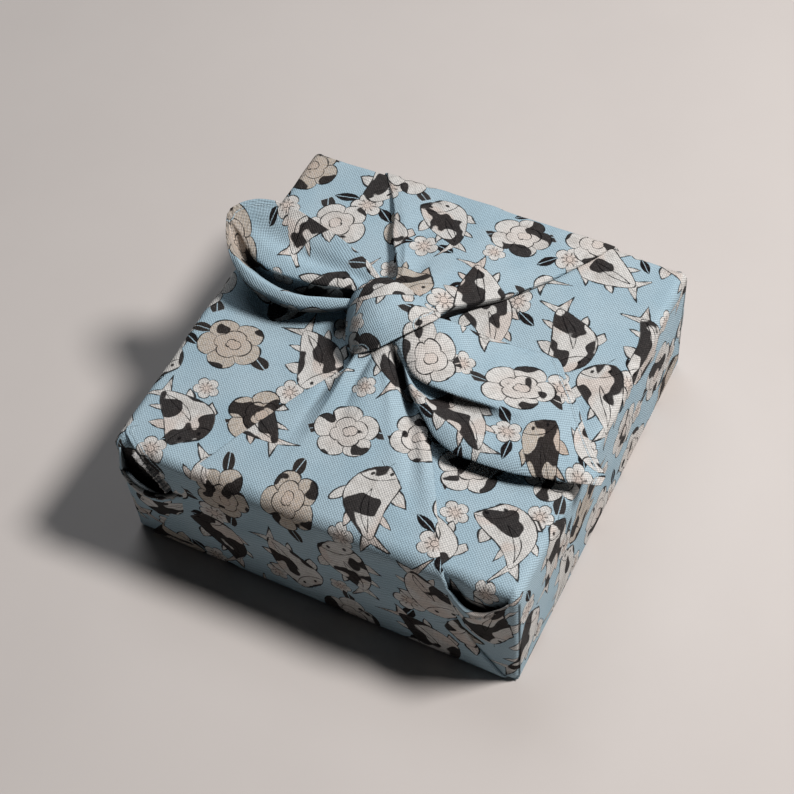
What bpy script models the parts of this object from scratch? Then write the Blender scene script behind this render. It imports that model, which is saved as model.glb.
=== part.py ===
"""A flat square gift box wrapped in one square cloth that is knotted on top.

The frame has +Z up and its origin at the middle of the flat base. The front
of the wrap looks along -Y. Two opposite corners of the cloth lie over the top
as flat flaps from the left and the right. The other two corners come up over
the front and the back as wings, meet in the knot and end in a left and a
right tail. Sizes are in millimetres and become metres where meshes are made.
"""

import math

import bmesh
import bpy
import numpy as np
from mathutils import Vector

MM = 0.001

# Driving sizes of the wrapped box, outside the cloth
HALF = 120.0
TOP = 87.5
CLOTH = 1.2
LAYER_GAP = 0.4
LAYER = CLOTH + LAYER_GAP

# Roundings of the cloth over the edges of the box
TOP_ROUND = 5.5
BASE_ROUND = 3.5
POST_ROUND = 4.0
ARC_STEPS = 3
BASE_STEPS = 8
BASE_REACH = 117.0
STRIP_COLUMNS = 8

# The gift box inside
BOX_HALF = 114.5
BOX_LOW = 1.8
BOX_HIGH = 84.0
BOX_EDGE = 4.0

# The left and right flaps end under the wings and the knot
LEFT_FLAP_END = 8.0
RIGHT_FLAP_END = -12.0
FLAP_STEP_TO = 16.0
FLAP_ROWS = (104.0, 92.0, 80.0, 68.0, 50.0, 34.0)
FLAP_TAPER = 14.0
FLAP_TAPER_FROM = 20.0
FLAP_TAPER_TO = 60.0

# The wings start on the base, inside the front and back edges
WING_TUCK = 110.0
WING_LIFT = 0.25
WING_ROUND = 6.0
WING_COLUMNS = 14

# The box's front and back layers, from the outside in
EAR_FACE = HALF - LAYER
TUCK_FACE = EAR_FACE - LAYER
TUCK_DEPTHS = (16.0, 44.0)
TUCK_FROM = 67.0
FLAP_EDGE = TUCK_FACE - TOP_ROUND

# Heights of the rows of cloth on the left and right faces
SIDE_ROWS = (12.0, 26.0, 40.0, 54.0, 66.0, 75.0, 82.0)
SIDE_TOP = SIDE_ROWS[-1]

# Ears: how far from the corner, height of the upper lip, how far it bulges
EAR_REACHES = (5.0, 9.0, 13.0, 18.0, 23.0, 28.0, 33.0, 38.0, 43.0, 51.0, 61.0, 72.0)
EAR_LIPS = {
    "right_front": (
        (8.0, 80.0, 1.0),
        (17.0, 69.5, 5.5),
        (28.0, 68.0, 6.0),
        (37.0, 74.0, 2.5),
        (45.0, 80.0, 0.0),
        (60.0, 82.0, 0.0),
        (72.0, 82.0, 0.0),
    ),
    "left_front": (
        (6.0, 66.0, 2.5),
        (13.0, 56.0, 5.5),
        (22.0, 53.0, 6.5),
        (32.0, 55.0, 3.5),
        (41.0, 60.0, 0.0),
        (56.0, 70.0, 0.0),
        (72.0, 76.0, 0.0),
    ),
    "back": (
        (8.0, 80.0, 0.8),
        (17.0, 75.0, 3.0),
        (28.0, 74.0, 3.5),
        (37.0, 78.0, 1.5),
        (46.0, 81.0, 0.0),
        (60.0, 82.0, 0.0),
        (72.0, 82.0, 0.0),
    ),
}

# Wings: length of cloth up from the base edge, its left and its right edge
FRONT_WING = (
    (0.0, -117.0, 117.0),
    (26.0, -104.0, 99.0),
    (44.0, -94.0, 88.0),
    (61.0, -84.5, 81.5),
    (81.5, -72.0, 77.0),
    (92.0, -68.0, 73.5),
    (110.0, -61.0, 65.0),
    (135.0, -50.0, 51.0),
    (150.0, -42.5, 42.0),
    (162.0, -36.0, 34.0),
    (173.0, -30.0, 26.5),
    (184.0, -26.0, 17.0),
    (194.0, -20.0, 7.0),
)
BACK_WING = (
    (0.0, -117.0, 117.0),
    (30.0, -101.0, 101.0),
    (60.0, -85.0, 86.0),
    (81.5, -74.0, 76.0),
    (92.0, -69.5, 72.5),
    (104.0, -61.0, 67.0),
    (120.0, -50.5, 57.0),
    (140.0, -41.0, 43.5),
    (154.0, -32.0, 32.5),
    (165.0, -25.5, 22.0),
    (178.0, -21.0, 12.0),
    (190.0, -15.0, 5.0),
)
WING_REACH = (0.0, 13.0, 26.0, 40.0, 54.0, 68.0, 79.0)
WING_TOP_REACH = (104.0, 117.0, 130.0, 142.0, 152.0, 161.0, 169.0, 176.0, 183.0, 190.0)

# Folds of the wings on the top: x and y at the knot end and at the far end,
# height there (a valley is below zero) and half width there
FRONT_FOLDS = (
    (-21.0, -22.0, -22.0, -98.0, 5.5, 0.8, 5.0, 11.0),
    (-9.0, -4.0, 55.0, -104.0, -7.0, -1.2, 4.5, 9.0),
    (8.0, -16.0, 68.0, -112.0, 5.0, 0.8, 5.5, 9.0),
    (-7.0, -20.0, 18.0, -112.0, 4.0, 1.0, 7.0, 20.0),
)
BACK_FOLDS = (
    (-20.0, 34.0, -62.0, 108.0, 5.0, 2.5, 5.0, 8.0),
    (2.0, 30.0, 20.0, 112.0, 3.0, 0.8, 9.0, 22.0),
    (8.0, 28.0, 62.0, 104.0, 3.0, 1.5, 5.0, 8.0),
)
FLAP_ENDS_MIDDLE = 4.0
FLAP_ENDS_REACH = 24.0
WING_CROWN = 2.2
WING_RISE = 10.5
WING_RISE_FROM = 62.0
WING_RISE_TO = 14.0

# The knot: a band of cloth laid over the bundle of the two tails
KNOT_AT = (-9.5, 1.5)
KNOT_TURN = math.radians(57.0)
KNOT_MID = 101.0
KNOT_UP = 17.5
KNOT_DOWN = 8.5
KNOT_LENGTH = 28.0
KNOT_SIDES = 22
KNOT_WIDTH_FRONT = 11.0
KNOT_WIDTH_BACK = 17.0
# Stations across the band, as a share of its half width, and their size
KNOT_STATIONS = (
    (-1.65, 0.30),
    (-1.50, 0.58),
    (-1.06, 0.80),
    (-1.00, 0.91),
    (-0.60, 1.00),
    (0.00, 1.03),
    (0.60, 1.00),
    (0.94, 0.95),
    (1.02, 0.93),
    (1.06, 0.80),
    (1.28, 0.62),
    (1.40, 0.30),
)

# Left tail, a cupped leaf: x of each section, then y and z of its far edge,
# its back, its trough, its outer rim and the lip that curls up
LEFT_TAIL = (
    (-22.0, 14.0, 108.0, 10.0, 105.0, 6.0, 102.0, 2.0, 101.0, 0.0, 104.0),
    (-34.0, 17.5, 113.0, 12.0, 106.0, 5.0, 100.0, -5.0, 99.5, -6.0, 105.0),
    (-48.0, 23.0, 118.0, 15.0, 107.5, 4.5, 98.5, -12.0, 99.0, -12.5, 106.0),
    (-65.0, 31.0, 121.5, 20.0, 109.0, 6.0, 98.0, -16.5, 99.5, -16.0, 108.0),
    (-85.0, 40.0, 122.5, 27.0, 110.5, 9.0, 98.5, -12.5, 100.0, -11.5, 109.0),
    (-102.0, 44.0, 121.5, 31.0, 112.0, 14.0, 102.0, -3.5, 102.5, -2.0, 110.5),
    (-113.0, 41.0, 120.5, 31.5, 114.5, 20.0, 108.0, 7.0, 107.5, 7.5, 113.0),
    (-120.0, 33.0, 119.0, 28.5, 117.0, 24.0, 114.5, 18.0, 113.5, 17.5, 116.5),
)
LEFT_TAIL_ROWS = 13
LEFT_TAIL_COLUMNS = 9

# Right tail, a leaf that lies on the top: x of each section, then y and z of
# its far edge, its fold, its crest, its rolled rim and the edge turned under
RIGHT_TAIL = (
    (-4.0, 12.0, 109.5, -3.0, 109.0, -8.0, 109.0, -13.0, 106.0, -11.0, 103.0),
    (10.0, 21.0, 105.5, -7.0, 104.0, -15.0, 105.5, -21.0, 102.0, -17.5, 98.5),
    (26.0, 22.5, 97.5, -16.0, 97.5, -26.0, 101.5, -34.0, 98.0, -29.0, 94.5),
    (46.0, 22.0, 92.0, -21.0, 94.0, -39.0, 99.0, -49.0, 96.0, -43.0, 93.0),
    (64.0, 23.0, 90.3, -20.0, 94.2, -43.0, 98.5, -53.0, 95.0, -47.0, 92.0),
    (83.0, 24.5, 89.8, -16.0, 94.0, -42.0, 98.0, -52.5, 94.5, -47.0, 91.8),
    (96.0, 14.5, 89.9, -16.0, 93.8, -39.0, 97.5, -50.0, 94.0, -45.0, 91.6),
    (110.0, -1.0, 90.2, -18.0, 93.5, -36.0, 97.0, -47.0, 94.5, -43.0, 91.6),
    (122.0, -17.0, 91.0, -26.0, 93.5, -36.0, 96.0, -44.5, 94.8, -42.0, 92.4),
    (132.0, -34.0, 92.5, -36.0, 93.5, -38.0, 94.5, -41.5, 94.5, -41.0, 93.0),
)
RIGHT_TAIL_ROWS = 17
RIGHT_TAIL_COLUMNS = 11

CLOTH_BLUE = (0.36, 0.57, 0.69, 1.0)
CARD_WHITE = (0.78, 0.76, 0.72, 1.0)


def clear_scene():
    """Remove every object that a new file starts with."""
    for thing in list(bpy.data.objects):
        bpy.data.objects.remove(thing, do_unlink=True)


def finish_material(name, colour, roughness):
    """A plain Principled material."""
    material = bpy.data.materials.new(name)
    material.use_nodes = True
    shader = material.node_tree.nodes["Principled BSDF"]
    shader.inputs["Base Color"].default_value = colour
    shader.inputs["Roughness"].default_value = roughness
    shader.inputs["Metallic"].default_value = 0.0
    material.diffuse_color = colour
    return material


def smooth_share(value, start, end):
    """0 at start, 1 at end and a soft step between."""
    share = min(max((value - start) / (end - start), 0.0), 1.0)
    return share * share * (3.0 - 2.0 * share)


def along_curve(keys, values, at):
    """Value at a place on the smooth curve through a table's column."""
    keys = np.asarray(keys, dtype=float)
    values = np.asarray(values, dtype=float)
    slopes = np.gradient(values, keys)
    cell = int(np.clip(np.searchsorted(keys, at) - 1, 0, len(keys) - 2))
    width = keys[cell + 1] - keys[cell]
    share = min(max((at - keys[cell]) / width, 0.0), 1.0)
    square, cube = share * share, share * share * share
    return float(
        (2 * cube - 3 * square + 1) * values[cell]
        + (cube - 2 * square + share) * width * slopes[cell]
        + (3 * square - 2 * cube) * values[cell + 1]
        + (cube - square) * width * slopes[cell + 1]
    )


def arc(centre, radius, start, end, steps):
    """Points on an arc in a plane, angles in degrees, both ends included."""
    turns = [math.radians(start + (end - start) * step / steps) for step in range(steps + 1)]
    return [(centre[0] + radius * math.cos(turn), centre[1] + radius * math.sin(turn)) for turn in turns]


class ClothGrid:
    """Collects the points and faces of one sheet's outer surface."""

    def __init__(self):
        self.points = []
        self.index = {}
        self.faces = []

    def put(self, key, point):
        """Add the point of one grid place and remember its number."""
        self.index[key] = len(self.points)
        self.points.append(tuple(point))

    def quad(self, corners):
        """Add a face where all its four grid places exist."""
        if all(corner in self.index for corner in corners):
            self.faces.append([self.index[corner] for corner in corners])

    def to_object(self, name, thickness, turned=False):
        """A mesh object of the surface, thickened inwards."""
        mesh = bpy.data.meshes.new(name)
        mesh.from_pydata([Vector(point) * MM for point in self.points], [], self.faces)
        work = bmesh.new()
        work.from_mesh(mesh)
        bmesh.ops.remove_doubles(work, verts=work.verts, dist=0.05 * MM)
        bmesh.ops.dissolve_degenerate(work, edges=work.edges, dist=0.02 * MM)
        if turned:
            bmesh.ops.reverse_faces(work, faces=work.faces)
        work.to_mesh(mesh)
        work.free()
        sheet = bpy.data.objects.new(name, mesh)
        bpy.context.collection.objects.link(sheet)
        solid = sheet.modifiers.new("Thickness", "SOLIDIFY")
        solid.thickness = thickness * MM
        solid.offset = -1.0
        solid.use_even_offset = True
        solid.use_quality_normals = True
        return sheet


def wrap_path():
    """Stations of the strip that runs left flap, base, right flap: kind, x, z."""
    path = [("flap", LEFT_FLAP_END, TOP)]
    path += [("flap", -x, TOP) for x in reversed(FLAP_ROWS)]
    top_left = arc((-HALF + TOP_ROUND, TOP - TOP_ROUND), TOP_ROUND, 90.0, 180.0, ARC_STEPS)
    path.append(("flap", *top_left[0]))
    path += [("top_arc", x, z) for x, z in top_left[1:-1]]
    path += [("side", -HALF, z) for z in reversed(SIDE_ROWS)]
    base_left = arc((-HALF + BASE_ROUND, BASE_ROUND), BASE_ROUND, 180.0, 270.0, ARC_STEPS)
    path.append(("side", *base_left[0]))
    path += [("base", x, z) for x, z in base_left[1:]]
    for step in range(1, BASE_STEPS):
        path.append(("base", (HALF - BASE_ROUND) * (2.0 * step / BASE_STEPS - 1.0), 0.0))
    base_right = arc((HALF - BASE_ROUND, BASE_ROUND), BASE_ROUND, 270.0, 360.0, ARC_STEPS)
    path += [("base", x, z) for x, z in base_right[:-1]]
    path.append(("side", *base_right[-1]))
    path += [("side", HALF, z) for z in SIDE_ROWS]
    top_right = arc((HALF - TOP_ROUND, TOP - TOP_ROUND), TOP_ROUND, 0.0, 90.0, ARC_STEPS)
    path += [("top_arc", x, z) for x, z in top_right[1:-1]]
    path.append(("flap", *top_right[-1]))
    path += [("flap", x, TOP) for x in FLAP_ROWS]
    path.append(("flap", FLAP_STEP_TO, TOP + LAYER))
    path.append(("flap", RIGHT_FLAP_END, TOP + LAYER))
    return path


def ear_table(right, front):
    """The lip table of one corner."""
    if not front:
        return EAR_LIPS["back"]
    return EAR_LIPS["right_front" if right else "left_front"]


def ear_point(right, front, distance, share):
    """A point of the ear that wraps a corner: distance along the face, height share."""
    table = ear_table(right, front)
    reaches = [0.0] + [row[0] for row in table]
    lips = [SIDE_TOP] + [row[1] for row in table]
    bulges = [0.0] + [row[2] for row in table]
    lip = along_curve(reaches, lips, distance)
    bulge = max(along_curve(reaches, bulges, distance), 0.0)
    z = BASE_ROUND + (lip - BASE_ROUND) * share
    y = EAR_FACE + bulge * share ** 3
    return (HALF - distance if right else distance - HALF, -y if front else y, z)


def post_turn(right, front, z):
    """Points round the upright edge at a corner of the box, the start left out."""
    turns = arc((HALF - POST_ROUND, EAR_FACE - POST_ROUND), POST_ROUND, 0.0, 90.0, ARC_STEPS)
    return [(x if right else -x, -y if front else y, z) for x, y in turns[1:]]


def tuck_turn(x, front):
    """Points over the front or back top edge of a flap, the start left out."""
    turns = arc((FLAP_EDGE, TOP - TOP_ROUND), TOP_ROUND, 90.0, 0.0, ARC_STEPS)
    return [(x, -y if front else y, z) for y, z in turns[1:]]


def corner_turn(right, front, x, z):
    """Points that close a top corner, between the upright edge and the flap's edge."""
    level = math.asin((z - TOP + TOP_ROUND) / TOP_ROUND)
    edge = HALF - TOP_ROUND
    centre = Vector((edge if right else -edge, -FLAP_EDGE if front else FLAP_EDGE, TOP - TOP_ROUND))
    points = []
    for post, tuck in zip(post_turn(right, front, TOP - TOP_ROUND), tuck_turn(centre.x, front)):
        low, high = Vector(post) - centre, Vector(tuck) - centre
        size = low.length * math.cos(level) ** 2 + high.length * math.sin(level) ** 2
        way = low.normalized() * math.cos(level) + high.normalized() * math.sin(level)
        points.append(tuple(centre + way.normalized() * size))
    return points


def rim_points(kind, x, z, front):
    """Points of one row beyond the edge of the strip, round a corner or an edge."""
    right = x > 0.0
    if kind == "side":
        level = (z - BASE_ROUND) / (SIDE_TOP - BASE_ROUND)
        return post_turn(right, front, z) + [ear_point(right, front, reach, level) for reach in EAR_REACHES]
    if kind == "top_arc":
        return corner_turn(right, front, x, z)
    if kind == "flap" and abs(x) > TUCK_FROM:
        face = -TUCK_FACE if front else TUCK_FACE
        return tuck_turn(x, front) + [(x, face, TOP - TOP_ROUND - depth) for depth in TUCK_DEPTHS]
    return []


def half_width(kind, x):
    """Half width of the strip of cloth between the front and the back edge."""
    if kind == "side":
        return HALF - POST_ROUND
    if kind == "top_arc":
        return 0.5 * (HALF - POST_ROUND + FLAP_EDGE)
    if kind == "base":
        return BASE_REACH
    return FLAP_EDGE - FLAP_TAPER * (1.0 - smooth_share(abs(x), FLAP_TAPER_FROM, FLAP_TAPER_TO))


def body_sheet():
    """The strip of cloth with its flaps on top and an ear round each corner."""
    grid = ClothGrid()
    path = wrap_path()
    for row, (kind, x, z) in enumerate(path):
        for column in range(STRIP_COLUMNS + 1):
            share = 2.0 * column / STRIP_COLUMNS - 1.0
            grid.put((row, column), (x, share * half_width(kind, x), z))
        for step, place in enumerate(rim_points(kind, x, z, True)):
            grid.put((row, -1 - step), place)
        for step, place in enumerate(rim_points(kind, x, z, False)):
            grid.put((row, STRIP_COLUMNS + 1 + step), place)
    furthest = ARC_STEPS + len(EAR_REACHES)
    for row in range(len(path) - 1):
        same = path[row][0] == path[row + 1][0]
        joined = ARC_STEPS if {path[row][0], path[row + 1][0]} <= {"side", "top_arc", "flap"} else 0
        limit = furthest if same else joined
        for column in range(-limit, STRIP_COLUMNS + limit):
            grid.quad([(row, column), (row, column + 1), (row + 1, column + 1), (row + 1, column)])
    return grid.to_object("body_sheet", CLOTH)


def fold_height(folds, x, y):
    """Height that the folds of a wing add at a point of its top."""
    height = 0.0
    for near_x, near_y, far_x, far_y, near_rise, far_rise, near_width, far_width in folds:
        share = (y - near_y) / (far_y - near_y)
        share = min(max(share, 0.0), 1.15)
        middle = near_x + (far_x - near_x) * share
        rise = near_rise + (far_rise - near_rise) * min(share, 1.0) ** 0.7
        width = near_width + (far_width - near_width) * share
        height += rise * math.exp(-(((x - middle) / width) ** 2))
    return height


def wing_top(folds, x, y):
    """Height of a wing's outer surface over the top of the box."""
    inward = abs(y)
    beside = smooth_share(abs(x - FLAP_ENDS_MIDDLE), FLAP_ENDS_REACH, FLAP_ENDS_REACH + 20.0)
    rise = WING_RISE * (1.0 - smooth_share(inward, WING_RISE_TO, WING_RISE_FROM)) ** 1.6
    fade = 1.0 - smooth_share(inward, HALF - 22.0, HALF - 4.0)
    folded = max(fold_height(folds, x, y) * fade, -rise)
    return TOP + LAYER + WING_CROWN * (1.0 - beside) + rise + folded


def wing_sheet(name, table, folds, front):
    """A wing of cloth up one face and over the top to the knot."""
    sign = -1.0 if front else 1.0
    reaches = [entry[0] for entry in table]
    lefts = [entry[1] for entry in table]
    rights = [entry[2] for entry in table]
    grid = ClothGrid()
    stations = [(0.0, WING_TUCK, WING_LIFT), (0.0, HALF - BASE_ROUND, WING_LIFT)]
    for y, z in arc((HALF - BASE_ROUND, WING_LIFT + BASE_ROUND), BASE_ROUND, -90.0, 0.0, ARC_STEPS)[1:]:
        stations.append((z, y, z))
    stations += [(reach, HALF, reach) for reach in WING_REACH[1:]]
    corner = (HALF - WING_ROUND, TOP + LAYER - WING_ROUND)
    for y, z in arc(corner, WING_ROUND, 0.0, 90.0, ARC_STEPS):
        stations.append((TOP + HALF - y if z > TOP else z, y, z))
    stations += [(reach, TOP + HALF - reach, None) for reach in WING_TOP_REACH]
    for row, (reach, y, z) in enumerate(stations):
        left = along_curve(reaches, lefts, reach)
        right = along_curve(reaches, rights, reach)
        for column in range(WING_COLUMNS + 1):
            share = column / WING_COLUMNS
            x = left + (right - left) * share
            height = wing_top(folds, x, sign * y) if z is None else z
            grid.put((row, column), (x, sign * y, height))
    for row in range(len(stations) - 1):
        for column in range(WING_COLUMNS):
            grid.quad([(row, column), (row, column + 1), (row + 1, column + 1), (row + 1, column)])
    return grid.to_object(name, CLOTH, turned=not front)


def section_sheet(name, table, rows, columns, turned):
    """A tail lofted through a table of sections, each with five places."""
    starts = [entry[0] for entry in table]
    shares = (0.0, 0.25, 0.5, 0.78, 1.0)
    grid = ClothGrid()
    for row in range(rows + 1):
        x = starts[0] + (starts[-1] - starts[0]) * row / rows
        if starts[-1] < starts[0]:
            keys, at = [-start for start in starts], -x
        else:
            keys, at = starts, x
        places = [
            (along_curve(keys, [entry[1 + 2 * place] for entry in table], at),
             along_curve(keys, [entry[2 + 2 * place] for entry in table], at))
            for place in range(len(shares))
        ]
        for column in range(columns + 1):
            share = column / columns
            y = along_curve(shares, [place[0] for place in places], share)
            z = along_curve(shares, [place[1] for place in places], share)
            grid.put((row, column), (x, y, z))
    for row in range(rows):
        for column in range(columns):
            grid.quad([(row, column), (row, column + 1), (row + 1, column + 1), (row + 1, column)])
    return grid.to_object(name, CLOTH, turned=turned)


def knot_solid():
    """The knot's band over the bundle, as one closed lofted form."""
    along = (math.cos(KNOT_TURN), math.sin(KNOT_TURN))
    across = (math.sin(KNOT_TURN), -math.cos(KNOT_TURN))
    grid = ClothGrid()
    for station, (offset, size) in enumerate(KNOT_STATIONS):
        for side in range(KNOT_SIDES):
            turn = 2.0 * math.pi * side / KNOT_SIDES
            length = KNOT_LENGTH * size * math.cos(turn)
            rise = (KNOT_UP if math.sin(turn) > 0.0 else KNOT_DOWN) * size * math.sin(turn)
            back = 0.5 + 0.5 * math.cos(turn)
            width = offset * (KNOT_WIDTH_FRONT + (KNOT_WIDTH_BACK - KNOT_WIDTH_FRONT) * back)
            x = KNOT_AT[0] + along[0] * length + across[0] * width
            y = KNOT_AT[1] + along[1] * length + across[1] * width
            grid.put((station, side), (x, y, KNOT_MID + rise))
    for station in range(len(KNOT_STATIONS) - 1):
        for side in range(KNOT_SIDES):
            after = (side + 1) % KNOT_SIDES
            grid.quad([(station, side), (station, after), (station + 1, after), (station + 1, side)])
    mesh = bpy.data.meshes.new("knot")
    faces = list(grid.faces)
    last = len(KNOT_STATIONS) - 1
    faces.append([grid.index[(0, side)] for side in reversed(range(KNOT_SIDES))])
    faces.append([grid.index[(last, side)] for side in range(KNOT_SIDES)])
    mesh.from_pydata([Vector(point) * MM for point in grid.points], [], faces)
    work = bmesh.new()
    work.from_mesh(mesh)
    bmesh.ops.recalc_face_normals(work, faces=work.faces)
    work.to_mesh(mesh)
    work.free()
    knot = bpy.data.objects.new("knot", mesh)
    bpy.context.collection.objects.link(knot)
    return knot


def join_into(target, others):
    """Unite the other solids with the target and keep them as guides."""
    for other in others:
        union = target.modifiers.new("With_" + other.name, "BOOLEAN")
        union.operation = "UNION"
        union.solver = "EXACT"
        union.object = other
        other.hide_render = True
        other.display_type = "WIRE"


def wrap_cloth():
    """The whole cloth: body, two wings, the knot and its two tails."""
    cloth = body_sheet()
    cloth.name = "wrap_cloth"
    join_into(cloth, [
        wing_sheet("front_wing", FRONT_WING, FRONT_FOLDS, True),
        wing_sheet("back_wing", BACK_WING, BACK_FOLDS, False),
        knot_solid(),
        section_sheet("left_tail", LEFT_TAIL, LEFT_TAIL_ROWS, LEFT_TAIL_COLUMNS, False),
        section_sheet("right_tail", RIGHT_TAIL, RIGHT_TAIL_ROWS, RIGHT_TAIL_COLUMNS, True),
    ])
    cloth.data.materials.append(finish_material("printed_cotton", CLOTH_BLUE, 0.85))
    return cloth


def gift_box():
    """The plain flat box that the cloth is folded round."""
    work = bmesh.new()
    bmesh.ops.create_cube(work, size=1.0)
    size = Vector((2.0 * BOX_HALF, 2.0 * BOX_HALF, BOX_HIGH - BOX_LOW)) * MM
    bmesh.ops.scale(work, vec=size, verts=work.verts)
    bmesh.ops.translate(work, vec=(0.0, 0.0, 0.5 * (BOX_LOW + BOX_HIGH) * MM), verts=work.verts)
    mesh = bpy.data.meshes.new("gift_box")
    work.to_mesh(mesh)
    work.free()
    box = bpy.data.objects.new("gift_box", mesh)
    bpy.context.collection.objects.link(box)
    edges = box.modifiers.new("Soft_edges", "BEVEL")
    edges.width = BOX_EDGE * MM
    edges.segments = 3
    box.data.materials.append(finish_material("card", CARD_WHITE, 0.7))
    return box


def main():
    """Build the box and the cloth round it."""
    clear_scene()
    gift_box()
    wrap_cloth()


main()
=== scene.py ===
"""Looks for the gift wrap: printed cotton folded and knotted round a flat box.

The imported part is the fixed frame. The cloth solid is replaced by thin sheets on
its own folds, each built from the same named sizes as the solid, and the box
keeps its solid with a card finish. Sizes are in millimetres until a mesh is
made. The front of the wrap looks along -Y and +Z is up.
"""

import logging
import math
from dataclasses import dataclass
from enum import Enum
from typing import Callable, Iterable, Optional, Sequence, Union

import bmesh
import bpy
import numpy as np
from mathutils import Matrix, Vector


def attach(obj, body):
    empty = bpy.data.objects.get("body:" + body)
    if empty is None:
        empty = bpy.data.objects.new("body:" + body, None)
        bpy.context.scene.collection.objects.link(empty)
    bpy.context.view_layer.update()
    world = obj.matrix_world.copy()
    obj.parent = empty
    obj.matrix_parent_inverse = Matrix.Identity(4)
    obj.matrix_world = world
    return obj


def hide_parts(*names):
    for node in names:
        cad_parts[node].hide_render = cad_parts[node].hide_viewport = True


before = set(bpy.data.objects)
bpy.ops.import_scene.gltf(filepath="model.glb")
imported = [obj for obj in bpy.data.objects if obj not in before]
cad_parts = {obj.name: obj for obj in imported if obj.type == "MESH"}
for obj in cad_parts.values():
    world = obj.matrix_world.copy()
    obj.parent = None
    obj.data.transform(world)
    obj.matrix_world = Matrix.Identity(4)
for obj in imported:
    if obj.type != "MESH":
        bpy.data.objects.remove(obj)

LOG = logging.getLogger("gift_wrap")
MM = 0.001

HALF = 120.0
TOP = 87.5
LAYER = 1.6
TOP_ROUND = 5.5
BASE_ROUND = 3.5
POST_ROUND = 4.0
EAR_FACE = HALF - LAYER
TUCK_FACE = EAR_FACE - LAYER
FLAP_EDGE = TUCK_FACE - TOP_ROUND
SHEET = 0.9
FAR_FROM_HEM = 60.0

Numbers = np.ndarray
Value = Union[float, "Wire"]


class Side(Enum):
    """Which side of the print a sheet shows."""

    FACE = "face"
    BACK = "back"


@dataclass(frozen=True)
class WingRow:
    """One row of a wing: cloth up from the base edge, its left and right edge."""

    reach: float
    left: float
    right: float


@dataclass(frozen=True)
class Spot:
    """A place on a surface."""

    x: float
    y: float
    z: float


@dataclass(frozen=True)
class FoldPlace:
    """A place on a fold's line: how high it stands there and its half width."""

    x: float
    y: float
    rise: float
    width: float


@dataclass(frozen=True)
class Fold:
    """A fold of a wing, with its places from the knot outwards.

    A valley's rise is below zero. Lean makes its left side wider and its right
    side steeper, and power below 2 sharpens its line.
    """

    places: tuple[FoldPlace, ...]
    lean: float = 0.0
    power: float = 2.0


@dataclass(frozen=True)
class Lip:
    """Upper lip of a corner ear: distance from the corner, height, bulge."""

    reach: float
    height: float
    bulge: float


@dataclass(frozen=True)
class TailRow:
    """A section of a tail: its x, then y and z of the places across it."""

    x: float
    places: tuple[tuple[float, float], ...]


@dataclass(frozen=True)
class RimSpot:
    """A place on the knot's rim: how full the band is there, 0 for a flat slope."""

    x: float
    y: float
    z: float
    full: float


@dataclass(frozen=True)
class HemPlace:
    """A place on the corner flap's hem: way over the edge, and its x."""

    gone: float
    x: float


@dataclass(frozen=True)
class EdgeTop:
    """A place on the inner fold's edge: its x and its height."""

    x: float
    height: float


@dataclass(frozen=True)
class Crease:
    """A soft trough or ridge between two points of a piece."""

    start: tuple[float, float, float]
    end: tuple[float, float, float]
    height: float
    width: float


def rows_of(kind: type, *rows: tuple) -> tuple:
    """The rows of a table, each made from its numbers."""
    return tuple(kind(*row) for row in rows)


FRONT_WING = rows_of(
    WingRow,
    (0.0, -110.0, 113.0), (18.0, -98.0, 99.0), (35.0, -90.5, 90.5), (60.0, -84.0, 82.5),
    (81.5, -73.5, 78.8), (92.0, -68.0, 75.0), (99.5, -64.0, 71.0), (114.5, -58.0, 62.5),
    (136.5, -47.5, 50.0), (154.5, -38.0, 39.0), (170.5, -28.0, 28.5), (180.5, -22.5, 20.0),
    (190.0, -21.0, 10.0), (204.0, -18.0, 4.0),
)
BACK_WING = rows_of(
    WingRow,
    (0.0, -117.0, 117.0), (30.0, -101.0, 101.0), (60.0, -85.0, 86.0), (81.5, -74.0, 76.0),
    (92.0, -69.5, 72.5), (104.0, -61.0, 67.0), (120.0, -50.5, 57.0), (140.0, -41.0, 43.5),
    (154.0, -32.0, 32.5), (165.0, -25.5, 22.0), (178.0, -21.0, 12.0), (194.0, -15.0, 8.0),
)
FRONT_SURFACE = rows_of(
    Spot,
    (-70.0, -114.0, 89.4), (-35.0, -114.0, 89.8), (0.0, -114.0, 90.2), (35.0, -114.0, 90.0),
    (72.0, -114.0, 89.4), (-58.0, -93.0, 89.7), (-25.0, -93.0, 91.0), (5.0, -93.0, 91.7),
    (40.0, -93.0, 91.2), (72.0, -93.0, 89.6), (-47.0, -71.0, 90.7), (-22.0, -73.0, 92.3),
    (0.0, -71.0, 93.5), (22.0, -71.0, 92.8), (45.0, -71.0, 92.2), (62.0, -71.0, 90.2), (-38.0, -53.0, 91.9),
    (-24.0, -55.0, 93.6), (-8.0, -53.0, 95.7), (10.0, -52.0, 95.0), (26.0, -52.0, 93.2),
    (38.0, -54.0, 92.8), (52.0, -54.0, 91.0), (-28.0, -37.0, 94.2), (-19.0, -40.0, 95.8),
    (-6.0, -38.0, 98.4), (7.0, -37.0, 96.8), (18.0, -36.0, 94.0), (32.0, -38.0, 92.5), (-22.5, -27.0, 96.6),
    (-12.0, -28.0, 99.4), (-3.0, -28.0, 99.8), (6.0, -28.0, 97.4), (14.0, -28.0, 94.6), (24.0, -28.0, 92.5),
    (-20.0, -20.0, 98.0), (-13.0, -18.5, 101.2), (-7.0, -18.0, 102.4), (0.0, -19.5, 100.6),
    (7.0, -20.0, 97.4), (-15.0, -12.0, 101.6), (-9.0, -10.0, 103.6), (-3.0, -12.0, 103.0),
    (3.0, -12.0, 100.0), (-8.0, -3.0, 103.0), (2.0, -3.0, 102.0),
)
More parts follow.
